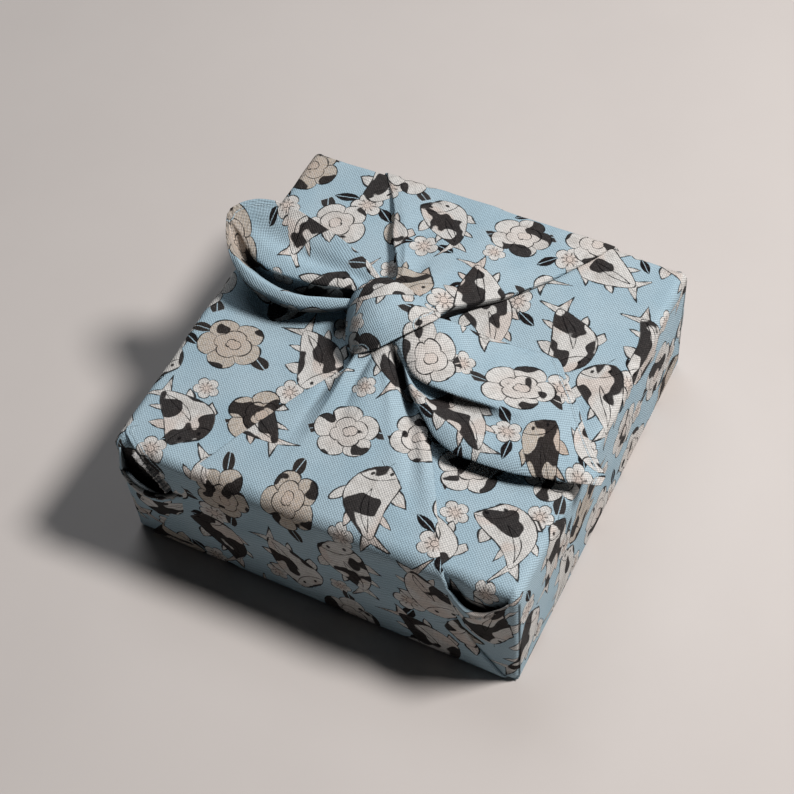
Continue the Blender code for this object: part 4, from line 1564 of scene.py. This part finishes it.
@dataclass
class Wing:
    """A wing of cloth up one face and over the top to the knot."""

    name: str
    rows: tuple[WingRow, ...]
    surface: tuple[Spot, ...]
    folds: tuple[Fold, ...]
    front: bool
    finishes: Sequence[bpy.types.Material]
    seed: int
    columns: int = 150
    tuck: float = 110.0
    lift: float = 0.25
    round: float = 8.5
    top_pitch: float = 1.2
    face_pitch: float = 2.6
    edge_roll: float = 1.4
    ground: float = TOP + 0.7
    level_from: float = 99.0
    least_rise: float = 0.25
    # Painted shade in the folds' valleys, by how deep a valley is, and under the turned-down edges.
    shade_from: float = 1.3
    painted_shade_span: float = 2.4
    edge_shade: float = 0.30

    def fold_height(self, x: Numbers, y: Numbers) -> Numbers:
        """Height that the folds add on the top.

        Args:
            x: Places across.
            y: Places along.

        Returns:
            Heights.
        """
        height = np.zeros_like(x)
        sign = -1.0 if self.front else 1.0
        for fold in self.folds:
            keys = [sign * place.y for place in fold.places]
            spots = [(place.x, place.rise, place.width) for place in fold.places]
            middle, rise, width = along_curve(keys, spots, sign * y).T
            width = width * np.where(x < middle, 1.0 + fold.lean, 1.0 - fold.lean)
            fade = soft_step(sign * y, keys[0] - 6.0, keys[0])
            fade = fade * soft_step(sign * y, keys[-1] + 12.0, keys[-1])
            height = height + rise * fade * np.exp(-(np.abs((x - middle) / width) ** fold.power))
        return height

    def top_height(self, plate: Plate, x: Numbers, y: Numbers) -> Numbers:
        """Height of the wing over the top of the box."""
        inner = soft_step(np.abs(y), HALF - 4.0, self.level_from)
        raised = plate.height(x, y) + self.fold_height(x, y)
        return TOP + LAYER + np.maximum(raised - TOP - LAYER, self.least_rise) * inner

    def stations(self) -> list[tuple[float, float, Optional[float]]]:
        """Rows from the base edge to the knot: reach, y and height, if it is fixed."""
        rows = [(0.0, self.tuck, self.lift), (0.0, HALF - BASE_ROUND, self.lift)]
        for y, z in arc((HALF - BASE_ROUND, self.lift + BASE_ROUND), BASE_ROUND, -90.0, 0.0, 5)[1:]:
            rows.append((z, y, z))
        face_top = TOP + LAYER - self.round
        heights = np.linspace(BASE_ROUND + self.lift, face_top, int(face_top / self.face_pitch))
        rows += [(float(z), HALF, float(z)) for z in heights[1:-1]]
        for y, z in arc((HALF - self.round, face_top), self.round, 0.0, 90.0, 9):
            rows.append((TOP + HALF - y if z > TOP else z, y, z))
        last = self.rows[-1].reach
        start = rows[-1][0] + self.top_pitch
        for reach in np.arange(start, last, self.top_pitch):
            rows.append((float(reach), TOP + HALF - float(reach), None))
        return rows

    def build(self) -> bpy.types.Object:
        """Build the piece.

        Returns:
            The new object.
        """
        sign = -1.0 if self.front else 1.0
        plate = Plate(self.surface)
        keys = [row.reach for row in self.rows]
        stations = self.stations()
        share = np.linspace(0.0, 1.0, self.columns + 1)
        points = np.zeros((len(stations), self.columns + 1, 3))
        places = np.zeros((len(stations), self.columns + 1, 3))
        gone = 0.0
        before = None
        for row, (reach, y, z) in enumerate(stations):
            left, right = along_curve(keys, [(entry.left, entry.right) for entry in self.rows], reach)[0]
            x = left + (right - left) * share
            across = np.full_like(x, sign * y)
            height = self.top_height(plate, x, across) if z is None else np.full_like(x, z)
            points[row] = np.stack([x, across, height], axis=1)
            spot = np.array([y, height[self.columns // 2]])
            gone += 0.0 if before is None else float(np.linalg.norm(spot - before))
            before = spot
            # Painted shade in the folds' valleys, by how deep each valley is.
            depth = np.zeros_like(x)
            if z is None:
                depth = np.clip((-self.fold_height(x, across) - self.shade_from) / self.painted_shade_span, 0.0, 1.0)
            places[row] = np.stack([x, np.full_like(x, sign * (self.tuck + gone)), depth], axis=1)
        points, places = self.rolled(points, places)
        cloth = ClothMesh()
        cloth.grid(points, places, turned=not self.front)
        piece = cloth.to_object(self.name, self.finishes, self.wrinkles)
        return piece

    def rolled(self, points: Numbers, places: Numbers) -> tuple[Numbers, Numbers]:
        """Turn both side edges down into a rounded fold that reaches the layer below.

        Args:
            points: The wing's grid.
            places: Its flat places, with their painted shade.

        Returns:
            Both with the columns of the turned edges added.
        """
        along = np.gradient(points, axis=0)
        over = np.gradient(points, axis=1)
        normals = np.cross(over, along) if self.front else np.cross(along, over)
        normals /= np.maximum(np.linalg.norm(normals, axis=2), 1e-9)[:, :, None]
        parts, flats = [points], [places]
        for column, sign in ((0, -1.0), (-1, 1.0)):
            out = over[:, column] * sign
            out /= np.maximum(np.linalg.norm(out, axis=1), 1e-9)[:, None]
            strip, flat = [], []
            for turn in np.radians([22.0, 45.0, 68.0, 90.0]):
                shift = math.sin(turn) * out - (1.0 - math.cos(turn)) * normals[:, column]
                strip.append(points[:, column] + self.edge_roll * shift)
                flat.append(places[:, column] + np.array([sign * self.edge_roll * turn, 0.0, 0.0]))
            drop = np.maximum(strip[-1][:, 2] - self.ground, 0.0)
            drop *= soft_step(HALF - np.abs(points[:, column, 1]), 6.0, 12.0)
            for share in (0.25, 0.5, 0.75, 1.0):
                inward = np.array([-sign * 0.22, 0.0, -1.0])
                strip.append(strip[3] + (drop * share)[:, None] * inward)
                # Painted shade grows down the turned edge as it drops to the layer below.
                flat.append(flat[3] + (drop * share)[:, None] * np.array([sign, 0.0, self.edge_shade]))
            strip, flat = np.stack(strip, axis=1), np.stack(flat, axis=1)
            if sign < 0.0:
                parts.insert(0, strip[:, ::-1])
                flats.insert(0, flat[:, ::-1])
            else:
                parts.append(strip)
                flats.append(flat)
        return np.concatenate(parts, axis=1), np.concatenate(flats, axis=1)

    def wrinkles(self, points: Numbers) -> Numbers:
        """Uneven heights of the wing, smaller near the base."""
        height = soft_noise(points, 46.0, self.seed) * 0.30 + soft_noise(points, 15.0, self.seed + 1) * 0.10
        return height * soft_step(points[:, 2], 4.0, 24.0)


@dataclass
class Tail:
    """A free end of the cloth beyond the knot, lofted through its sections.

    A painted shade line lies in a crease along it: dark gives the line's place across and
    its width as shares, and the shade span gives the x at which it starts, is full, starts
    to fade and ends. Its underside gets painted shade too.
    """

    name: str
    rows: tuple[TailRow, ...]
    across: tuple[float, ...]
    hem_from: float
    turned: bool
    finishes: Sequence[bpy.types.Material]
    flat: tuple[float, float]
    area: float
    start_place: tuple[float, float]
    seed: int
    # Painted shade along the crease: its place and width across, and its x span.
    dark: tuple[float, float]
    painted_shade_span: tuple[float, float, float, float]
    row_count: int = 150
    column_count: int = 120
    raised: float = 0.6

    def build(self) -> bpy.types.Object:
        """Build the piece.

        Returns:
            The new object.
        """
        first, last = self.rows[0].x, self.rows[-1].x
        xs = np.linspace(first, last, self.row_count + 1)
        sign = 1.0 if last > first else -1.0
        keys = [sign * row.x for row in self.rows]
        flat_rows = [[number for place in row.places for number in place] for row in self.rows]
        sections = along_curve(keys, flat_rows, sign * xs).reshape(len(xs), len(self.across), 2)
        sections[:, :, 1] += self.raised
        share = np.linspace(0.0, 1.0, self.column_count + 1)
        points = np.zeros((len(xs), len(share), 3))
        for row, x in enumerate(xs):
            points[row, :, 0] = x
            points[row, :, 1:] = along_curve(self.across, sections[row], share)
        across = np.linalg.norm(np.diff(points, axis=1), axis=2)
        gone = np.concatenate([np.zeros((len(xs), 1)), np.cumsum(across, axis=1)], axis=1)
        middle = gone[:, len(share) // 2][:, None]
        run = np.broadcast_to(np.abs(xs - first)[:, None], gone.shape)
        # Painted shade along the crease and over the underside next to the layer below.
        middle_shade, wide_shade = self.dark
        start, full, fades, end = self.painted_shade_span
        shown = soft_step(np.abs(xs), start, full) * soft_step(np.abs(xs), end, fades)
        depth = np.exp(-(((share - middle_shade) / wide_shade) ** 2))[None, :] * shown[:, None]
        under = 0.92 - 0.14 * soft_step(-np.abs(xs), -24.0, -12.0)
        depth = np.maximum(depth, 0.88 * soft_step(share[None, :] - under[:, None], 0.0, 0.055))
        places = np.stack([self.start_place[0] + (gone - middle), self.start_place[1] + run, depth], axis=2)
        upper = points[:, 0][np.abs(points[:, 0, 0]) > self.hem_from]
        edge = np.concatenate([upper, points[-1]])
        cloth = ClothMesh()
        cloth.grid(points, places, edge_places(points, edge, walked(edge)), turned=self.turned)
        piece = cloth.to_object(self.name, self.finishes, self.wrinkles)
        return piece

    def wrinkles(self, points: Numbers) -> Numbers:
        """Uneven heights of the tail."""
        return soft_noise(points, 30.0, self.seed) * 0.30 + soft_noise(points, 11.0, self.seed + 1) * 0.08


@dataclass
class Knot:
    """The band of cloth that goes over the bundle of the two tails."""

    finishes: Sequence[bpy.types.Material]
    centre: tuple[float, float, float] = (-12.0, 6.0, 118.6)
    spokes: int = 240
    rings: int = 46
    roll: float = 1.1
    drop: float = 9.0
    free: float = 5.0
    hem_ends: tuple[int, int] = (0, 7)
    hem_detour: float = 1.035
    start_place: tuple[float, float] = (31.0, 260.0)
    creases: tuple[Crease, ...] = (
        Crease((-35.0, -4.0, 97.0), (-18.0, 3.0, 116.0), -0.7, 2.2),
        Crease((-30.0, -11.0, 97.0), (-12.0, -4.0, 115.0), 0.5, 2.4),
        Crease((-27.0, -14.0, 97.0), (-8.0, -7.0, 111.0), -0.6, 1.8),
        Crease((-36.0, 8.0, 104.0), (-14.0, 12.0, 118.0), 0.5, 3.0),
        Crease((-30.0, 20.0, 110.0), (-6.0, 16.0, 115.0), -0.5, 2.6),
    )

    def rim(self) -> tuple[Numbers, Numbers]:
        """The closed rim and how full the band is at each of its places."""
        spots = np.array([(spot.x, spot.y, spot.z, spot.full) for spot in KNOT_RIM])
        closed = np.concatenate([spots[-3:], spots, spots[:4]])
        gone = walked(closed[:, :3])
        at = np.linspace(gone[3], gone[3 + len(spots)], self.spokes, endpoint=False)
        curve = along_curve(gone, closed, at)
        return curve[:, :3], curve[:, 3]

    def build(self) -> bpy.types.Object:
        """Build the piece.

        Returns:
            The new object.
        """
        rim, full = self.rim()
        centre = np.array(self.centre)
        rows = []
        for share in np.linspace(0.04, 1.0, self.rings):
            flat = centre[:2] + (rim[:, :2] - centre[:2]) * share
            sink = (1.0 - share ** (1.5 + 0.9 * full)) ** (1.0 - 0.45 * full)
            rows.append(np.column_stack([flat, rim[:, 2] + (centre[2] - rim[:, 2]) * sink]))
        out = rim[:, :2] - centre[:2]
        out = np.column_stack([out / np.linalg.norm(out, axis=1)[:, None], np.zeros(len(rim))])
        for turn in np.radians([30.0, 60.0, 90.0]):
            fall = np.array([0.0, 0.0, self.roll * (1.0 - math.cos(turn))])
            rows.append(rim + out * self.roll * math.sin(turn) - fall)
        under = (0.3 + self.free * (1.0 - full) ** 2)[:, None]
        for share in (0.06, 0.35, 0.7, 1.0):
            fall = np.array([0.0, 0.0, self.roll + self.drop * share])
            rows.append(rim + out * (self.roll - under - 1.4 * share) - fall)
        points = np.stack(rows)
        steps = np.linalg.norm(np.diff(points, axis=0), axis=2)
        first = np.linalg.norm(points[0] - centre, axis=1)
        gone = np.concatenate([first[None], first[None] + np.cumsum(steps, axis=0)])
        # Painted shade under the band's rolled rim, on the rows that turn under it.
        depth = np.concatenate([np.zeros(self.rings), [0.0, 0.15, 0.5], np.full(4, 0.8)])
        places = np.concatenate(
            [
                np.array(self.start_place) + out[None, :, :2] * gone[:, :, None],
                np.broadcast_to(depth[:, None, None], (*gone.shape, 1)),
            ],
            axis=2,
        )
        cloth = ClothMesh()
        cloth.grid(points, places, self.hem(points, rim), ring=True)
        cloth.cap(self.spokes, centre, self.start_place)
        piece = cloth.to_object("cloth_knot", self.finishes, self.wrinkles)
        return piece

    def hem(self, points: Numbers, rim: Numbers) -> Numbers:
        """How each point of the band lies to its hem.

        Args:
            points: The band's grid.
            rim: Its closed rim.

        Returns:
            Rows by columns by two: the distance from the hem and the way along it.
        """
        start, end = (np.array((spot.x, spot.y, spot.z)) for spot in (KNOT_RIM[at] for at in self.hem_ends))
        length = np.linalg.norm(end - start)
        detour = np.linalg.norm(rim - start, axis=1) + np.linalg.norm(rim - end, axis=1)
        edge = rim[detour < self.hem_detour * length]
        return edge_places(points, edge, (edge - start) @ ((end - start) / length))

    def wrinkles(self, points: Numbers) -> Numbers:
        """Uneven heights of the knot."""
        uneven = soft_noise(points, 16.0, 71) * 0.20 + soft_noise(points, 7.0, 72) * 0.06
        return uneven + crease_heights(points, self.creases)


@dataclass
class CornerFlap:
    """The hemmed layer that lies over the front left corner's ear.

    The ragged turned-in edge of the hem and the inner fold's edge go with it.
    """

    finishes: Sequence[bpy.types.Material]
    lift: Callable[[Numbers], Numbers]
    right_end: float = -60.0
    back_y: float = 70.0
    lift_off: float = 0.12
    rise: float = 1.0
    face: float = HALF - 0.4
    round: float = 5.5
    columns: int = 60
    hem_from: float = 36.0
    fringe_from: float = 49.0
    fringe_wide: float = 3.4
    fringe_behind: float = 0.9
    fringe_curl: float = 3.91
    inner_deep: float = 12.0
    inner_behind: float = 2.3

    def over_edge(self, gone: Numbers) -> tuple[Numbers, Numbers]:
        """Distance in front and height after going over the top's front edge.

        Args:
            gone: Way forward from the flap's back row.

        Returns:
            The y without its sign, and z.
        """
        straight = self.face - self.round - self.back_y
        turn = np.clip((gone - straight) / self.round, 0.0, 0.5 * math.pi)
        down = np.maximum(gone - straight - self.round * 0.5 * math.pi, 0.0)
        top = TOP + self.lift_off + self.rise * soft_step(gone, 16.0, 40.0)
        y = self.back_y + np.minimum(gone, straight) + self.round * np.sin(turn)
        z = top - self.round * (1.0 - np.cos(turn)) - down
        return y, z

    def flat_place(self, x: Numbers, gone: Numbers) -> Numbers:
        """Where the printed pattern lies, so that it goes on from the flap below."""
        way = -(2.0 * HALF + TOP + x - 3.9)
        return np.stack([way, -(self.back_y + gone)], axis=-1)

    def build(self) -> bpy.types.Object:
        """Build the piece.

        Returns:
            The new object.
        """
        cloth = ClothMesh()
        gone = np.linspace(0.0, FLAP_HEM[-1].gone, 120)
        left = hem_at(gone)
        share = np.linspace(0.0, 1.0, self.columns + 1) ** 1.5
        x = left[:, None] + (self.right_end - left[:, None]) * share[None, :]
        across = np.broadcast_to(gone[:, None], x.shape)
        y, z = self.over_edge(across)
        points = np.stack([x, -y, z], axis=2)
        lean = np.abs(np.gradient(left, gone))
        away = (x - left[:, None]) / np.sqrt(1.0 + lean**2)[:, None]
        run = np.broadcast_to(np.cumsum(np.sqrt(1.0 + lean**2) * np.gradient(gone))[:, None], x.shape)
        away = np.where(across < self.hem_from, FAR_FROM_HEM, away)
        cloth.grid(points, self.flat_place(x, across), np.stack([away, run], axis=2), turned=True)
        piece = cloth.to_object("cloth_corner_flap", self.finishes, self.lift)
        return piece

    def fringe(self, finish: bpy.types.Material) -> bpy.types.Object:
        """The ragged edge that is turned in behind the hem."""
        cloth = ClothMesh()
        gone = np.linspace(self.fringe_from, FLAP_HEM[-1].gone - 5.0, 260)
        left = hem_at(gone)
        y, z = self.over_edge(gone)
        lean = np.gradient(left, gone)
        draw = np.random.default_rng(5)
        ragged = 0.75 + 0.25 * np.sin(gone * 1.9) * np.sin(gone * 0.83) + draw.uniform(-0.22, 0.22, len(gone))
        tilt = np.sqrt(1.0 + lean**2)
        rows = []
        for share in (-0.6, 0.0, 0.5, 1.0):
            size = self.fringe_wide * share * (ragged if share > 0.0 else 1.0)
            depth = self.fringe_behind - self.fringe_curl * max(share, 0.0) ** 1.5
            rows.append(np.stack([left - size / tilt, depth - y, z - size * lean / tilt * 0.6], axis=1))
        points = np.stack(rows, axis=1)
        places = np.stack([np.broadcast_to(gone[:, None], points.shape[:2]), points[:, :, 0]], axis=2)
        cloth.grid(points, places)
        return cloth.to_object("cloth_hem_fringe", (finish,), thickness=0.5)

    def inner_fold(self) -> bpy.types.Object:
        """The edge of the fold that stands inside the ear's mouth."""
        cloth = ClothMesh()
        x = np.linspace(INNER_EDGE[0].x, INNER_EDGE[-1].x, 60)
        top = along_curve([spot.x for spot in INNER_EDGE], [spot.height for spot in INNER_EDGE], x)
        height, bulge = lip_at(LEFT_FRONT_LIP, HALF + x).T
        downs = np.linspace(0.0, self.inner_deep, 14)
        rows = []
        for down in downs:
            level = np.clip((top - down - BASE_ROUND) / (height - BASE_ROUND), 0.0, 1.0)
            y = EAR_FACE + np.maximum(bulge, 0.0) * level**3 - self.inner_behind - 0.5 * math.exp(-down)
            rows.append(np.stack([x, -y, top - down], axis=1))
        points = np.stack(rows)
        places = np.stack([points[:, :, 0] + 8.0, points[:, :, 2] + 66.0], axis=2)
        away = np.broadcast_to(downs[:, None], points.shape[:2])
        hems = np.stack([away, points[:, :, 0]], axis=2)
        cloth.grid(points, places, hems, turned=True)
        return cloth.to_object("cloth_ear_lining", self.finishes[::-1])


@dataclass(frozen=True)
class Lamp:
    """A round area light: the way to it, its distance, size, watts and colour."""

    name: str
    way: tuple[float, float, float]
    away: float
    size: float
    power: float
    tint: tuple[float, float, float]

    def place(self) -> None:
        """Place it, turned to the part."""
        light = bpy.data.lights.new(self.name, "AREA")
        light.shape = "DISK"
        light.size = self.size
        light.energy = self.power
        light.color = self.tint
        thing = bpy.data.objects.new(self.name, light)
        thing.location = Vector(self.way).normalized() * self.away
        thing.rotation_mode = "QUATERNION"
        thing.rotation_quaternion = thing.location.to_track_quat("Z", "Y")
        bpy.context.collection.objects.link(thing)


@dataclass(frozen=True)
class Studio:
    """Pale floor, soft light and the camera, in metres."""

    floor_tone: tuple = (0.560, 0.530, 0.512, 1.0)
    floor_mottle: tuple = (0.525, 0.495, 0.478, 1.0)
    azimuth: float = math.radians(31.3365)
    elevation: float = math.radians(53.6983)
    roll: float = math.radians(-5.8247)
    distance: float = 1.01125
    target: tuple = (-0.01321924, 0.00629273, 0.03)
    lens: float = 78.627
    sensor: float = 36.0
    lamps: tuple[Lamp, ...] = (
        Lamp("key", (0.52, 0.22, 0.83), 1.9, 0.42, 41.0, (1.0, 0.955, 0.925)),
        Lamp("fill", (-0.3, 0.38, 0.87), 2.4, 1.3, 11.5, (0.93, 0.96, 1.0)),
    )
    world_tone: tuple = (0.80, 0.86, 0.95, 1.0)
    world_power: float = 0.014
    floor_reach: float = 6.0
    floor_drop: float = 0.0004

    def build(self) -> None:
        """Build the floor, the lights and the camera."""
        bpy.context.scene.view_settings.view_transform = "Standard"
        self.floor()
        self.lights()
        self.camera()

    def floor(self) -> None:
        """A plain pale floor under the part."""
        mesh = bpy.data.meshes.new("floor")
        signs = ((-1.0, -1.0), (1.0, -1.0), (1.0, 1.0), (-1.0, 1.0))
        corners = [(x * self.floor_reach, y * self.floor_reach, 0.0) for x, y in signs]
        mesh.from_pydata(corners, [], [[0, 1, 2, 3]])
        floor = bpy.data.objects.new("floor", mesh)
        floor.location.z = -self.floor_drop
        bpy.context.collection.objects.link(floor)
        web = Web("pale_floor")
        place = web.add("ShaderNodeTexCoord").out("Object")
        mottle = web.noise(place, 5.0, 4.0, 0.6)
        colour = web.mixed(mottle.step(0.3, 0.7) * 0.5, self.floor_tone, self.floor_mottle)
        mesh.materials.append(web.surface({"Base Color": colour, "Roughness": 0.9}))

    def lights(self) -> None:
        """One soft key from the right and behind, a weak pale fill and a dim world."""
        for lamp in self.lamps:
            lamp.place()
        world = bpy.data.worlds.new("studio")
        world.use_nodes = True
        back = world.node_tree.nodes["Background"]
        back.inputs["Color"].default_value = self.world_tone
        back.inputs["Strength"].default_value = self.world_power
        bpy.context.scene.world = world

    def camera(self) -> None:
        """The camera at the photograph's angle."""
        back = Vector((
            math.sin(self.azimuth) * math.cos(self.elevation),
            -math.cos(self.azimuth) * math.cos(self.elevation),
            math.sin(self.elevation),
        ))
        side = Vector((0.0, 0.0, 1.0)).cross(back).normalized()
        above = back.cross(side)
        cosine, sine = math.cos(self.roll), math.sin(self.roll)
        right = cosine * side + sine * above
        top = -sine * side + cosine * above
        spot = Vector(self.target) + back * self.distance
        lens = bpy.data.cameras.new("camera")
        lens.lens = self.lens
        lens.sensor_width = self.sensor
        lens.clip_start = 0.05
        lens.clip_end = 50.0
        camera = bpy.data.objects.new("camera", lens)
        camera.matrix_world = Matrix((
            (right.x, top.x, back.x, spot.x),
            (right.y, top.y, back.y, spot.y),
            (right.z, top.z, back.z, spot.z),
            (0.0, 0.0, 0.0, 1.0),
        ))
        bpy.context.collection.objects.link(camera)
        bpy.context.scene.camera = camera


def dress(pieces: Sequence[bpy.types.Object]) -> None:
    """Put the cloth pieces on the body in place of the plain solid.

    Args:
        pieces: Every sheet of the wrap.
    """
    for piece in pieces:
        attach(piece, "root")
        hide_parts("wrap_cloth")
        LOG.info("%s: %d points", piece.name, len(piece.data.vertices))


def main() -> None:
    """Build the wrap, the box's finish and the studio."""
    logging.basicConfig(level=logging.INFO, format="%(name)s %(message)s")
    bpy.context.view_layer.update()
    face = PrintedCotton(Side.FACE).make()
    back = PrintedCotton(Side.BACK).make()
    both = (face, back)
    body = WrapBody(both)
    corner = CornerFlap(both, body.wrinkles)
    pieces = [
        body.build(),
        corner.build(),
        corner.fringe(RawThread().make()),
        corner.inner_fold(),
        Wing("cloth_front_wing", FRONT_WING, FRONT_SURFACE, FRONT_FOLDS, True, both, 21).build(),
        Wing("cloth_back_wing", BACK_WING, BACK_SURFACE, BACK_FOLDS, False, both, 31).build(),
        Tail(
            "cloth_left_tail", LEFT_TAIL, ACROSS_LEFT, hem_from=104.0, turned=True, finishes=both,
            flat=(0.11, 0.10), area=0.0072, start_place=(-40.0, 300.0), seed=41,
            dark=(0.605, 0.06), painted_shade_span=(20.0, 32.0, 98.0, 118.0),
        ).build(),
        Tail(
            "cloth_right_tail", RIGHT_TAIL, ACROSS_RIGHT, hem_from=79.0, turned=False, finishes=both,
            flat=(0.145, 0.10), area=0.0108, start_place=(25.0, 300.0), seed=51,
            dark=(0.575, 0.036), painted_shade_span=(10.0, 18.0, 56.0, 74.0),
        ).build(),
        Knot(both).build(),
    ]
    dress(pieces)
    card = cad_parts["gift_box"]
    card.data.materials.clear()
    card.data.materials.append(PaleCard().make())
    Studio().build()
    bpy.context.view_layer.update()


if __name__ == "__main__":
    main()
